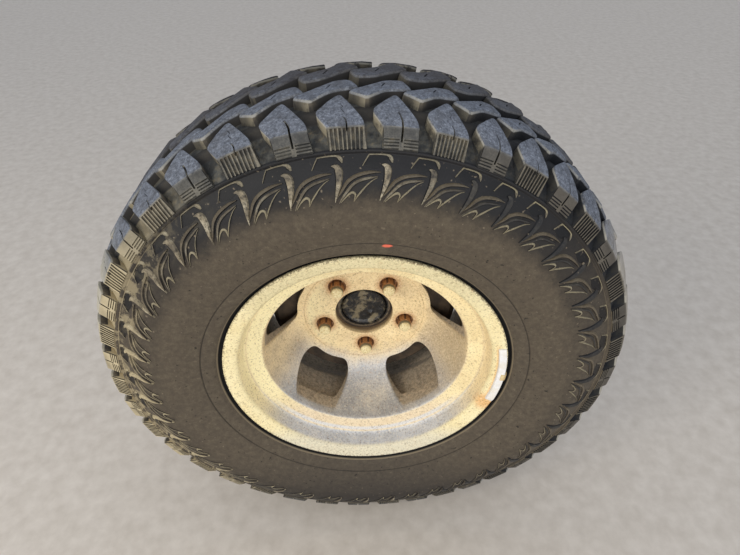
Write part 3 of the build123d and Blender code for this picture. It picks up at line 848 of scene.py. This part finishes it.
def wall_point(angle, radius, rise):
    """Point at a height over the outer wall, in millimetres; the caller mirrors it for the inner wall."""
    slope = wall_width(radius + 1.5) - wall_width(radius - 1.5)
    length = hypot(3.0, slope)
    out_radial = -slope / length
    out_side = 3.0 / length
    r = radius + rise * out_radial
    return r * cos(angle), WHEEL_MIDDLE - wall_width(radius) - rise * out_side, r * sin(angle)


def finer(points, parts):
    """Points along a ridge, rounded between its corners."""
    made = []
    count = len(points)
    for n in range(count - 1):
        a, b, c, d = points[max(n - 1, 0)], points[n], points[n + 1], points[min(n + 2, count - 1)]
        for k in range(parts):
            t = k / parts
            row = []
            for p, q, r, s in zip(a, b, c, d):
                bend = (2 * p - 5 * q + 4 * r - s) * t * t + (3 * q - p - 3 * r + s) * t ** 3
                row.append(0.5 * (2 * q + (r - p) * t + bend))
            made.append(tuple(row))
    made.append(points[-1])
    return made


def ridge(work, centre, side, parts, height_up, dust_and_shade_share, kind_of_ridge, points):
    """Tapered ridge on the wall along its points, its slopes marked with their shares of dust, with painted
    shade marked below 0 on the inner slopes and on dark fields.
    """
    dust = work.faces.layers.float["dust"]
    kind = work.faces.layers.float["kind"]
    rows = []
    rounded = finer(points, parts)
    flat = [Vector((radians(a) * r, r)) for a, r, _ in rounded]
    runs = []
    for n in range(len(flat)):
        runs.append((flat[min(n + 1, len(flat) - 1)] - flat[max(n - 1, 0)]).normalized())
    way = 1 if sum(run.x for run in runs) >= 0 else -1
    if kind_of_ridge == CLAW:
        top = ((0.36, height_up), (-0.34, height_up * 0.7))
        section = ((0.6, -2.0), (0.5, 0.3), *top, (-0.5, 0.0), (-0.6, -2.0))
    else:
        top = ((0.12, height_up), (-0.3, height_up * 0.9))
        section = ((0.62, -2.0), (0.5, 0.0), *top, (-0.5, 0.0), (-0.62, -2.0))
    for n, (offset, radius, width) in enumerate(rounded):
        across = Vector((-runs[n].y, runs[n].x)) * way
        row = []
        for share, rise in section:
            shift = across * (max(width, 0.5) * share)
            angle = radians(offset) + shift.x / radius
            world = radians(warp(centre + side * degrees(angle)))
            point = Vector(wall_point(world, radius + shift.y, rise))
            if side < 0:
                point.y = 2 * WHEEL_MIDDLE - point.y
            row.append(work.verts.new(point * MM))
        rows.append(row)
    on_top = 0.9 if kind_of_ridge == CLAW else 0.55
    # Below 0 is painted shade: the two inner slopes are marked dark.
    slopes = (1.0, 1.0, on_top, -0.6, -0.6)
    for here, there in zip(rows, rows[1:]):
        for k, slope in enumerate(slopes):
            face = work.faces.new((here[k], here[k + 1], there[k + 1], there[k]))
            face[dust] = dust_and_shade_share if dust_and_shade_share < 0 else dust_and_shade_share * slope
            face[kind] = kind_of_ridge
        work.faces.new((here[-1], here[0], there[0], there[-1]))
    work.faces.new(rows[0])
    work.faces.new(rows[-1])


def of_kind(kind, mark):
    """1 on ridges of one kind."""
    return band(kind, mark - 0.1, mark - 0.05, mark + 0.05, mark + 0.1)


rubber, tree, shader = new_material("weathered tyre rubber")
spot = place(tree)
radius, across, along, height, _ = about_wheel(spot)
from_middle = maths("ABSOLUTE", maths("SUBTRACT", along, WHEEL_MIDDLE * MM))
cloud = grain(spot, 60, detail=5)
patch = grain(spot, 16, detail=6, rough=0.65)
fine = grain(spot, 2.2, detail=6, rough=0.7)
dots = grain(spot, 5.0, detail=2, rough=0.4)
black = srgb(20, 20, 22)

# Wall: near-black and clean towards the tread at the top, browner with dust low down and round the rim
wall_dark = steps(cloud, (0.35, srgb(17, 18, 21)), (0.65, srgb(27, 27, 30)))
mottle = grain(spot, 7, detail=6, rough=0.75)
wall_brown = steps(mottle, (0.3, srgb(70, 63, 55)), (0.5, srgb(82, 74, 63)), (0.7, srgb(96, 88, 74)))
wall_brown = coat(wall_brown, srgb(44, 42, 42), fade(height, -0.16, -0.34), 0.9)
uneven_radius = frayed(radius, patch, 0.03)
low_dust = times(fade(height, 0.3, 0.04), 0.85)
right = fade(across, 0.03, 0.24)
down_wall = most(fade(uneven_radius, 0.32, 0.282), low_dust)
skin = coat(wall_dark, wall_brown, down_wall)
left_low = times(fade(across, -0.14, -0.34), fade(height, 0.22, 0.02))
left_up = times(fade(across, -0.12, -0.32), fade(height, 0.34, 0.14))
# Painted light: pale beige patches on the upper left of the wall, as if lit from the left.
painted_light_left_wall = times(left_up, steps(patch, (0.47, 0.0), (0.56, 0.7)), fade(radius, 0.312, 0.33))
skin = coat(skin, srgb(158, 146, 118), painted_light_left_wall)
# The dust mark holds dust above 0 and painted shade below 0.
dust_and_shade_mark = source(tree, "Attribute", "Fac", attribute_name="dust")
ridge_dust_and_light = steps(patch, (0.36, srgb(104, 97, 84)), (0.5, srgb(140, 130, 110)),
                   (0.64, srgb(176, 168, 148)))
# Painted light: ridges paler on the lower left.
ridge_dust_and_light = coat(ridge_dust_and_light, srgb(196, 182, 146), left_low, 0.8)
kind = source(tree, "Attribute", "Fac", attribute_name="kind")
outer_leaf = of_kind(kind, OUTER_LEAF)
ridge_dust_and_light = coat(ridge_dust_and_light, srgb(112, 100, 80), outer_leaf, 0.75)
crisp = of_kind(kind, CRISP)
ridge_dust_and_light = coat(ridge_dust_and_light, srgb(176, 166, 138), crisp, 0.7)
roof = of_kind(kind, ROOF)
ridge_dust_and_light = coat(ridge_dust_and_light, srgb(178, 168, 140), roof, 0.4)
ridge_dust_and_light = coat(ridge_dust_and_light, srgb(214, 201, 162), roof, fade(radius, 0.343, 0.3445), right, 0.85)
claw = of_kind(kind, CLAW)
# Painted shade: the claws on the right side darkened to near-black.
shaded_claw_right = times(claw, fade(across, 0.02, 0.14))
flaky = steps(grain(spot, 4.5, detail=5, rough=0.75), (0.38, 0.25), (0.52, 1.0))
# On the lower left the claws are pale all over, as painted light.
patchy = coat(steps(fine, (0.32, 0.45), (0.52, 1.0)), flaky, claw, fade(left_low, 0.9, 0.2))
dust_share = maths("MULTIPLY", dust_and_shade_mark, patchy, clamp=True)
skin = coat(skin, ridge_dust_and_light, dust_share)
skin = coat(skin, srgb(22, 25, 31), shaded_claw_right, 0.92)
# Painted shade: the plain ridges darkened on the right side.
middle_ridge = times(fade(kind, 0.12, 0.06), fade(dust_and_shade_mark, 0.02, 0.1))
shaded_middle_right = times(middle_ridge, fade(across, 0.04, 0.15))
skin = coat(skin, srgb(30, 32, 38), shaded_middle_right, 0.8)
# Painted shade: near-black where the dust mark is below 0, on inner slopes and dark fields.
painted_shade_share = maths("MULTIPLY", dust_and_shade_mark, -0.85, clamp=True)
skin = coat(skin, srgb(12, 13, 16), painted_shade_share)
inner_line = band(radius, 0.3462, 0.3465, 0.3467, 0.347)
outer_line = band(radius, 0.351, 0.3513, 0.3516, 0.3519)
ring_line = most(inner_line, outer_line)
# Pale ring lines: painted light on the upper left, and pale dust low down.
ring_dust_and_light = maths("ADD", times(left_up, 0.6), times(fade(height, 0.26, 0.05), 0.25))
skin = coat(skin, srgb(176, 162, 132), ring_dust_and_light, ring_line)
light_dots = times(steps(dots, (0.69, 0.0), (0.75, 0.6)), fade(radius, 0.352, 0.345))
skin = coat(skin, srgb(136, 124, 106), light_dots, spread(radius, 0.25, 0.31, 0.35, 1.0))
dark_dots = times(steps(dots, (0.25, 0.8), (0.31, 0.0)), fade(radius, 0.33, 0.3))
skin = coat(skin, srgb(26, 24, 22), dark_dots)
# Painted shade: near-black low on the wall, in the gap under the rim's flange.
skin = coat(skin, black, fade(radius, 0.2142, 0.2128))
pale_line = band(radius, 0.2126, 0.2134, 0.2142, 0.215)
skin = coat(skin, srgb(150, 136, 112), pale_line, 0.5)
seam = band(radius, 0.2342, 0.235, 0.2356, 0.2364)
skin = coat(skin, black, seam, 0.6)
mark_across = times(maths("SUBTRACT", across, PAINT_MARK[0]), 0.42)
mark_up = maths("SUBTRACT", height, PAINT_MARK[1])
mark_far = frayed(distance(mark_across, mark_up), fine, 0.002)
outer_wall = fade(along, (WHEEL_MIDDLE - 60) * MM, (WHEEL_MIDDLE - 80) * MM)
mark_share = times(fade(mark_far, 0.0032, 0.0018), fade(radius, 0.235, 0.2344), outer_wall)
skin = coat(skin, srgb(232, 112, 88), mark_share, 0.85)

# Tread: depth below the lugs' outer surface tells their faces from their flanks and from the grooves between
top_fall = spread(from_middle, 0.06, 0.105, 0.0, 0.0164)
side_fall = spread(from_middle, 0.105, 0.115, 0.0, 0.0232)
surface = maths("SUBTRACT", maths("SUBTRACT", 0.392, top_fall), side_fall)
level = maths("SUBTRACT", surface, radius)
speckle = grain(spot, 2.6, detail=4, rough=0.75)
# Worn grey lug tops with a painted bluish reflection of the sky.
lug_top = steps(mottle, (0.34, srgb(84, 88, 96)), (0.5, srgb(108, 114, 126)), (0.66, srgb(134, 140, 152)))
lug_top = coat(lug_top, srgb(56, 58, 63), steps(speckle, (0.36, 0.6), (0.48, 0.0)))
lug_top = coat(lug_top, srgb(176, 182, 194), steps(speckle, (0.55, 0.0), (0.7, 0.6)))
lug_top = coat(lug_top, srgb(66, 64, 64), steps(patch, (0.36, 0.4), (0.52, 0.0)))
# Painted shade: the far rows of lugs darker.
far_row = fade(along, WHEEL_MIDDLE * MM - 0.05, WHEEL_MIDDLE * MM + 0.05)
outer_lugs = fade(along, (WHEEL_MIDDLE - 46) * MM, (WHEEL_MIDDLE - 60) * MM)
lug_top = coat(lug_top, srgb(52, 46, 44), far_row, 0.8)
# Painted highlights: lug tops whitish at the left and right edges of the tyre.
lit_left_edge = times(fade(across, -0.29, -0.35), fade(height, 0.28, 0.12), outer_lugs)
lug_top = coat(lug_top, srgb(196, 190, 172), lit_left_edge, 0.85)
lit_right_edge = times(fade(across, 0.27, 0.34), fade(height, 0.3, 0.16), outer_lugs)
lug_top = coat(lug_top, srgb(186, 178, 164), lit_right_edge, 0.7)
# Pale worn edges on the lugs, which are also a painted highlight.
worn_edge_and_highlight = times(fade(level, 0.0007, 0.0015), fade(patch, 0.36, 0.5))
shoulder = fade(from_middle, 0.052, 0.07)
lug_top = coat(lug_top, srgb(180, 175, 160), worn_edge_and_highlight, spread(from_middle, 0.04, 0.07, 0.1, 0.7))
grooved = source(tree, "Attribute", "Fac", attribute_name="grooved")
crested = most(grooved, times(fade(radius, 0.3648, 0.363), 0.4))
smooth_side = steps(fine, (0.3, srgb(66, 68, 70)), (0.7, srgb(104, 103, 99)))
crest_side = steps(fine, (0.3, srgb(90, 88, 80)), (0.7, srgb(140, 134, 120)))
rib = coat(smooth_side, crest_side, crested)
rib = coat(rib, srgb(66, 67, 68), steps(patch, (0.4, 0.6), (0.54, 0.0)))
# Painted light on the lug sides on the upper left, painted shade on the right, and painted shade near-black
# down in the side grooves.
rib = coat(rib, srgb(204, 190, 156), left_up, 0.75)
rib = coat(rib, srgb(86, 79, 69), right, 0.6)
rib = coat(rib, srgb(16, 16, 17), fade(level, 0.0007, 0.0017))
side_face = fade(from_middle, 0.1035, 0.1062)
face_skin = coat(lug_top, rib, side_face)
flank_dust = times(steps(patch, (0.4, 0.1), (0.6, 0.85)), shoulder)
flank = coat(srgb(54, 52, 51), srgb(124, 115, 98), flank_dust)
# Painted shade: flanks darker deeper down.
flank = coat(flank, srgb(48, 46, 44), fade(level, 0.003, 0.013))
# Dust and painted light on one flank of each lug, strongest on the upper left.
dusty_lit_flank = source(tree, "Attribute", "Fac", attribute_name="dusty_lit_flank")
dusty_lit_flank_share = times(dusty_lit_flank, steps(patch, (0.38, 0.15), (0.54, 0.7)), spread(from_middle, 0.055, 0.07, 0.25, 1.0))
flank = coat(flank, srgb(164, 156, 134), dusty_lit_flank_share)
flank = coat(flank, srgb(214, 199, 160), dusty_lit_flank, left_up, 0.8)
# Painted shade: flanks near-black on the right.
flank = coat(flank, srgb(18, 22, 29), right, 0.9)
floor_patches = steps(patch, (0.42, 0.15), (0.58, 0.8))
floor_dust = times(floor_patches, spread(from_middle, 0.05, 0.075, 0.55, 1.0))
settled = steps(mottle, (0.36, srgb(84, 87, 88)), (0.52, srgb(104, 102, 94)), (0.66, srgb(130, 118, 96)))
groove_floor = coat(srgb(40, 42, 44), settled, floor_dust)
# Painted light: groove floors pale on the upper left.
groove_floor = coat(groove_floor, srgb(196, 181, 146), left_up, 0.75)
tread_skin = coat(face_skin, flank, fade(level, 0.0026, 0.004))
on_floor = most(fade(level, 0.0125, 0.0135), times(side_face, fade(level, 0.004, 0.006)))
# Painted shade: groove floors near-black on the right.
groove_floor = coat(groove_floor, srgb(26, 29, 35), right, 0.85)
tread_skin = coat(tread_skin, groove_floor, on_floor)
on_tread = fade(radius, 0.3516, 0.3526)
skin = coat(skin, tread_skin, on_tread)
tree.links.new(skin, shader.inputs["Base Color"])
gloss = steps(fade(uneven_radius, 0.292, 0.328), (0.0, 0.78), (1.0, 0.55))
tree.links.new(most(gloss, times(on_tread, 0.82)), shader.inputs["Roughness"])
shader.inputs["Specular IOR Level"].default_value = 0.3
relief(shader, fine, 0.35)

work = turned(casing_section(), ROUND_TYRE)
work.faces.layers.float.new("dust")
work.faces.layers.float.new("kind")
for n in range(PITCHES):
    for side, parts in ((1, 3), (-1, 2)):
        for figure in FIGURES:
            ridge(work, FIRST_PITCH + PITCH * n, side, parts, *figure)
casing = mesh_object("tyre_casing", outwards(work), rubber, 40)
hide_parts("tyre")
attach(casing, "wheel")


# Tread: two rows of slanting centre blocks and two rows of shoulder lugs, moulded with the casing.
# Every second shoulder lug has grooves down its side; the others have a deep slot and four bars.
# Their edges are worn round.
# Millimetres round the tread in one degree
DEGREE = 6.82
# Degrees that a centre block lies on from its shoulder lug
BLOCK_LAG = 3.3
GROOVES = 8
GROOVE_PITCH = 4.7
GROOVE_WIDTH = 3.3
GROOVE_DEPTH = 2.5
# Section in shares of the width and the depth
GROOVE_SECTION = ((-0.5, 3.0), (-0.5, -0.45), (-0.28, -1.0), (0.28, -1.0), (0.5, -0.45), (0.5, 3.0))
BARS = 4
ABOVE = 396.0
# Plans: angle from the lug's own place, distance from the middle plane
SHOULDER_PLAN = [(2.5, 128.0), (3.1, 104.0), (4.9, 83.0), (1.1, 55.0), (-2.5, 97.0), (-3.1, 128.0)]
CENTRE_PLAN = [(5.6, 43.0), (2.4, 64.0), (-0.6, 40.0), (-5.4, 31.0), (-4.0, 5.0), (-1.0, 7.0)]


def lug_prism(plan, low, high, flare, rounding):
    """Flat lug in millimetres: arc length, distance from the middle plane, radius. Its foot is flared."""
    outline = eased([(offset * DEGREE, w, rounding) for offset, w in plan], 3)
    following = outline[1:] + outline[:1]
    area = sum(here.x * there.y - there.x * here.y for here, there in zip(outline, following))
    way = 1 if area > 0 else -1
    work = bmesh.new()
    rows = []
    for level, grow in ((low, flare), ((low + high) / 2, flare * 0.35), (high, 0.0)):
        row = []
        for n, point in enumerate(outline):
            along = outline[(n + 1) % len(outline)] - outline[n - 1]
            normal = Vector((along.y, -along.x)).normalized() * way
            row.append(work.verts.new((point.x + normal.x * grow, point.y + normal.y * grow, level)))
        rows.append(row)
    return closed(work, rows)


def across_prism(section, low, high):
    """Solid with a (distance from the middle plane, radius) section, between two arc lengths."""
    work = bmesh.new()
    near = [work.verts.new((low, w, r)) for w, r in section]
    far = [work.verts.new((high, w, r)) for w, r in section]
    return closed(work, [near, far])


def slot_tool(points, width, top, bottom):
    """Narrow cutter along (arc length, distance from the middle plane) points."""
    work = bmesh.new()
    rows = []
    for n, (s, w) in enumerate(points):
        before, after = points[max(n - 1, 0)], points[min(n + 1, len(points) - 1)]
        along = Vector((after[0] - before[0], after[1] - before[1])).normalized()
        half = width / 2
        left = (s - along.y * half, w + along.x * half)
        right = (s + along.y * half, w - along.x * half)
        corners = ((*left, bottom), (*right, bottom), (*right, top), (*left, top))
        rows.append([work.verts.new(corner) for corner in corners])
    return closed(work, rows)


# Top and foot of the lug's side: (distance from the middle plane, radius)
SIDE_TOP = Vector((105.0, 374.8))
SIDE_FOOT = Vector((115.0, 351.6))
DOWN_SIDE = SIDE_FOOT - SIDE_TOP


def side_tool(s, start, end):
    """Round-bottomed cutter down the lug's side at an arc length, from one share of the side to another."""
    out = Vector((-DOWN_SIDE.y, DOWN_SIDE.x)).normalized()
    work = bmesh.new()
    rows = []
    for share_down in (start, end):
        row = []
        for across, deep in GROOVE_SECTION:
            w, r = SIDE_TOP + DOWN_SIDE * share_down + out * (deep * GROOVE_DEPTH)
            row.append(work.verts.new((s + across * GROOVE_WIDTH, w, r)))
        rows.append(row)
    return closed(work, rows)


def shoulder_body():
    """Shoulder lug before its grooves and slots, pointed inwards and leaning out to the ring line."""
    body = mesh_object("lug", lug_prism(SHOULDER_PLAN, 344.0, 395.0, 3.0, 5.0), rubber)
    section = [
        (48, 392.4), (60, 391.4), (68, 389.5), (76, 387.0), (84, 384.3), (91, 381.5), (98, 378.4),
        SIDE_TOP, SIDE_FOOT, (108, 350.0), (72, 374), (48, 374)]
    cut(body, [across_prism(section, -60, 60)], "INTERSECT")
    ease_edges(body, 2.4, 3, 30)
    return settle(body)


def grooved_lug():
    """Eight grooves down the side, a zigzag sipe and a short slot in the top."""
    body = shoulder_body()
    tools = []
    for n in range(GROOVES):
        middle = (n - (GROOVES - 1) / 2) * GROOVE_PITCH + 0.9
        tools.append(side_tool(middle, 0.06, 1.03))
    cut(body, tools)
    sipe = slot_tool([(7.0, 72.0), (4.0, 78.0), (6.0, 81.0), (2.0, 88.0)], 0.9, ABOVE, 378)
    slot = slot_tool([(4.0, 92.5), (1.0, 97.5), (0.4, 102.0), (0.6, 108.0)], 1.8, ABOVE, 370)
    cut(body, [sipe])
    return cut(body, [slot])


def barred_lug():
    """A deep curved slot from the top down the side, and four bars across the side's lower half."""
    body = shoulder_body()
    slot = slot_tool([(5.4, 85.0), (2.4, 91.0), (0.6, 97.0), (0.0, 104.0), (0.0, 120.0)], 2.4, ABOVE, 360)
    cut(body, [slot])
    tools = []
    for n in range(BARS):
        share_down = 0.5 + n * 0.135
        top = SIDE_TOP + DOWN_SIDE * share_down
        foot = SIDE_TOP + DOWN_SIDE * (share_down + 0.07)
        section = [
            (top.x + 6, top.y + 2.0), (top.x - 1.9, top.y - 0.6), (foot.x - 1.9, foot.y - 0.4),
            (foot.x + 6, foot.y + 2.0)]
        for low, high in ((-24.0, -2.8), (2.8, 24.0)):
            tools.append(across_prism(section, low, high))
    return cut(body, tools)


def centre_lug():
    """Bent block with one short sipe."""
    body = mesh_object("lug", lug_prism(CENTRE_PLAN, 370.0, 392.2, 5.5, 7.0), rubber)
    ease_edges(body, 5.6, 5, 40)
    sipe = slot_tool([(-5.0, 21.0), (0.0, 33.0)], 2.0, ABOVE, 381)
    return cut(settle(body), [sipe])


def take_mesh(body):
    """Mesh of a finished flat lug."""
    smooth_faces(body, 30)
    mesh = body.data
    bpy.data.objects.remove(body)
    return mesh


def set_lug(joined, mesh, centre, side, seed, with_grooves):
    """Copy of a lug bent round the tyre at its place, with a little wear of its own."""
    start, first_face = len(joined.verts), len(joined.faces)
    joined.from_mesh(mesh)
    joined.verts.ensure_lookup_table()
    joined.faces.ensure_lookup_table()
    dusty_lit_flank = joined.faces.layers.float["dusty_lit_flank"]
    grooved = joined.faces.layers.float["grooved"]
    for face in joined.faces[first_face:]:
        face[dusty_lit_flank] = 1.0 if face.normal.x * side > 0.45 else 0.0
        face[grooved] = with_grooves
    shift = Vector((seed * 7.3, side * 11.1, seed * 3.7))
    for vert in joined.verts[start:]:
        s, w, r = vert.co
        worn = noise.noise(Vector((s, w, r)) / 16 + shift) * 0.55
        angle = radians(warp(centre + side * s / DEGREE))
        r = r + worn
        vert.co = Vector((r * cos(angle), WHEEL_MIDDLE - side * w, r * sin(angle))) * MM


grooved_mesh = take_mesh(grooved_lug())
barred_mesh = take_mesh(barred_lug())
block_mesh = take_mesh(centre_lug())
shoulders = bmesh.new()
blocks = bmesh.new()
for work in (shoulders, blocks):
    work.faces.layers.float.new("dusty_lit_flank")
    work.faces.layers.float.new("grooved")
for n in range(PITCHES):
    centre = FIRST_PITCH + PITCH * n
    lug, with_grooves = (grooved_mesh, 1.0) if n % 2 == 0 else (barred_mesh, 0.0)
    for side in (1, -1):
        set_lug(shoulders, lug, centre, side, n, with_grooves)
        set_lug(blocks, block_mesh, centre + BLOCK_LAG, side, n + 50, 0.0)
for name, work in (("tyre_shoulder_lugs", shoulders), ("tyre_centre_blocks", blocks)):
    piece = mesh_object(name, work, rubber, keep_edges=True)
    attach(piece, "wheel")


# Balance weights: bars of zinc alloy clipped over the rim's edge, one outside and one inside.
# The outer one is bright, with a cream clip in its middle and a rust stain below it.
# How far the lip falls back for each millimetre in from the flange
LIP_FALL = 4.6 / 21
OUTER_MIDDLE = -3.5
OUTER_HALF_ANGLE = 15.7
BAR_THICKNESS = 4.8
BAR_STEPS = 40
CLIP_HALF_ANGLE = 1.6
zinc = cast_skin(
    "bright zinc", srgb(222, 223, 226), srgb(244, 245, 248), srgb(226, 220, 206),
    roughness=0.5, depth=0.1, size=3.0)
clip_skin = cast_skin(
    "dusty clip", srgb(206, 184, 136), srgb(232, 214, 168), srgb(186, 150, 104),
    roughness=0.7, depth=0.1, size=2.0)


def edge_row(work, outline, angle, y_edge, way):
    """Points of a (radius, distance in from the rim's edge) outline, at an angle round the wheel."""
    row = []
    for r, d in outline:
        row.append(work.verts.new((r * cos(angle) * MM, (y_edge + way * d) * MM, r * sin(angle) * MM)))
    return row


def weight_bar(middle, half_angle, y_edge, way):
    """Bar bent along the lip, with rounded corners and blunt ends."""
    work = bmesh.new()
    rows = []
    outer, inner = FLANGE - 2.0, FLANGE - 13.0
    drop_out = LIP_FALL * (FLANGE - outer)
    drop_in = LIP_FALL * (FLANGE - inner)
    for n in range(BAR_STEPS + 1):
        share = n / BAR_STEPS
        angle = radians(middle + half_angle * (2 * share - 1))
        end = min(share, 1 - share) * 2 * radians(half_angle) * FLANGE
        thin = min(1.0, 0.55 + end / 9)
        corners = [
            (inner + 0.6 * (1 - thin), drop_in + 0.4, 0), (inner, drop_in - BAR_THICKNESS * thin, 2.0),
            (outer, drop_out - BAR_THICKNESS * thin, 2.2), (outer, drop_out + 0.4, 0)]
        rows.append(edge_row(work, eased(corners, 3), angle, y_edge, way))
    return closed(work, rows)


def weight_clip(middle, y_edge, way):
    """Sheet clip over the rim's edge."""
    corners = [
        (FLANGE - 8.0, -4.9, 0.6), (FLANGE - 2.0, -4.6, 1.4), (FLANGE + 1.2, -1.2, 1.6),
        (FLANGE + 1.2, 4.5, 0.5), (FLANGE, 4.5, 0.3), (FLANGE - 0.2, 0.2, 0.8), (FLANGE - 8.0, 1.0, 0.4)]
    work = bmesh.new()
    rows = []
    for place_on_clip in range(-3, 4):
        angle = radians(middle + CLIP_HALF_ANGLE * place_on_clip / 3)
        rows.append(edge_row(work, eased(corners, 2), angle, y_edge, way))
    return closed(work, rows)


for node_name, y_edge, way in (("outer_weight", FRONT, 1), ("inner_weight", BACK, -1)):
    low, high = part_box(node_name)
    if node_name == "outer_weight":
        middle, half_angle = OUTER_MIDDLE, OUTER_HALF_ANGLE
    else:
        middle = degrees(atan2((low.z + high.z) / 2, (low.x + high.x) / 2))
        half_angle = degrees(asin(hypot(high.x - low.x, high.z - low.z) / 2 / (FLANGE * MM))) - 0.7
    bar = mesh_object(node_name + "_bar", weight_bar(middle, half_angle, y_edge, way), zinc)
    clip = mesh_object(node_name + "_clip", weight_clip(middle, y_edge, way), clip_skin)
    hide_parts(node_name)
    for piece in (bar, clip):
        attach(piece, "wheel")


# Ground and light: the wheel stands on a plain pale floor under a wide, soft sky-like light.
GROUND = -393.4
# The sky is a little brighter where it is seen or mirrored than as a lamp
SKY_LIGHT = 0.67
SEEN_EXTRA = 0.29
WHEEL_PLACE = (0, -0.15, 0)
floor_skin, tree, shader = new_material("pale floor", 0.9)
spot = place(tree)
floor_tone = steps(grain(spot, 30, detail=8), (0.3, srgb(204, 195, 184)), (0.7, srgb(222, 214, 204)))
tree.links.new(floor_tone, shader.inputs["Base Color"])
work = bmesh.new()
bmesh.ops.create_grid(work, x_segments=8, y_segments=8, size=14)
for vert in work.verts:
    vert.co.z = GROUND * MM
floor = mesh_object("floor", work, floor_skin)
floor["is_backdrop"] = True

world = bpy.data.worlds.new("sky")
world.use_nodes = True
tree = world.node_tree
background = tree.nodes["Background"]
seen = most(*[source(tree, "LightPath", f"Is {way} Ray") for way in ("Camera", "Glossy", "Transmission")])
strength = maths("ADD", times(seen, SEEN_EXTRA), SKY_LIGHT)
background.inputs["Color"].default_value = srgb(226, 232, 242)
tree.links.new(strength, background.inputs["Strength"])
bpy.context.scene.world = world


def lamp(name, size, energy, colour, stands_at):
    """Round soft lamp, turned towards the wheel."""
    light = bpy.data.lights.new(name, "AREA")
    light.shape = "DISK"
    light.size = size
    light.energy = energy
    light.color = colour[:3]
    made = bpy.data.objects.new(name, light)
    made.location = stands_at
    made.rotation_euler = (Vector(WHEEL_PLACE) - Vector(stands_at)).to_track_quat("-Z", "Y").to_euler()
    bpy.context.collection.objects.link(made)


lamp("high light", 1.4, 27, srgb(255, 246, 230), (-1.8, -1.8, 1.3))
lamp("front light", 1.8, 31, srgb(255, 250, 242), (0.4, -2.8, 0.5))

low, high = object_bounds()
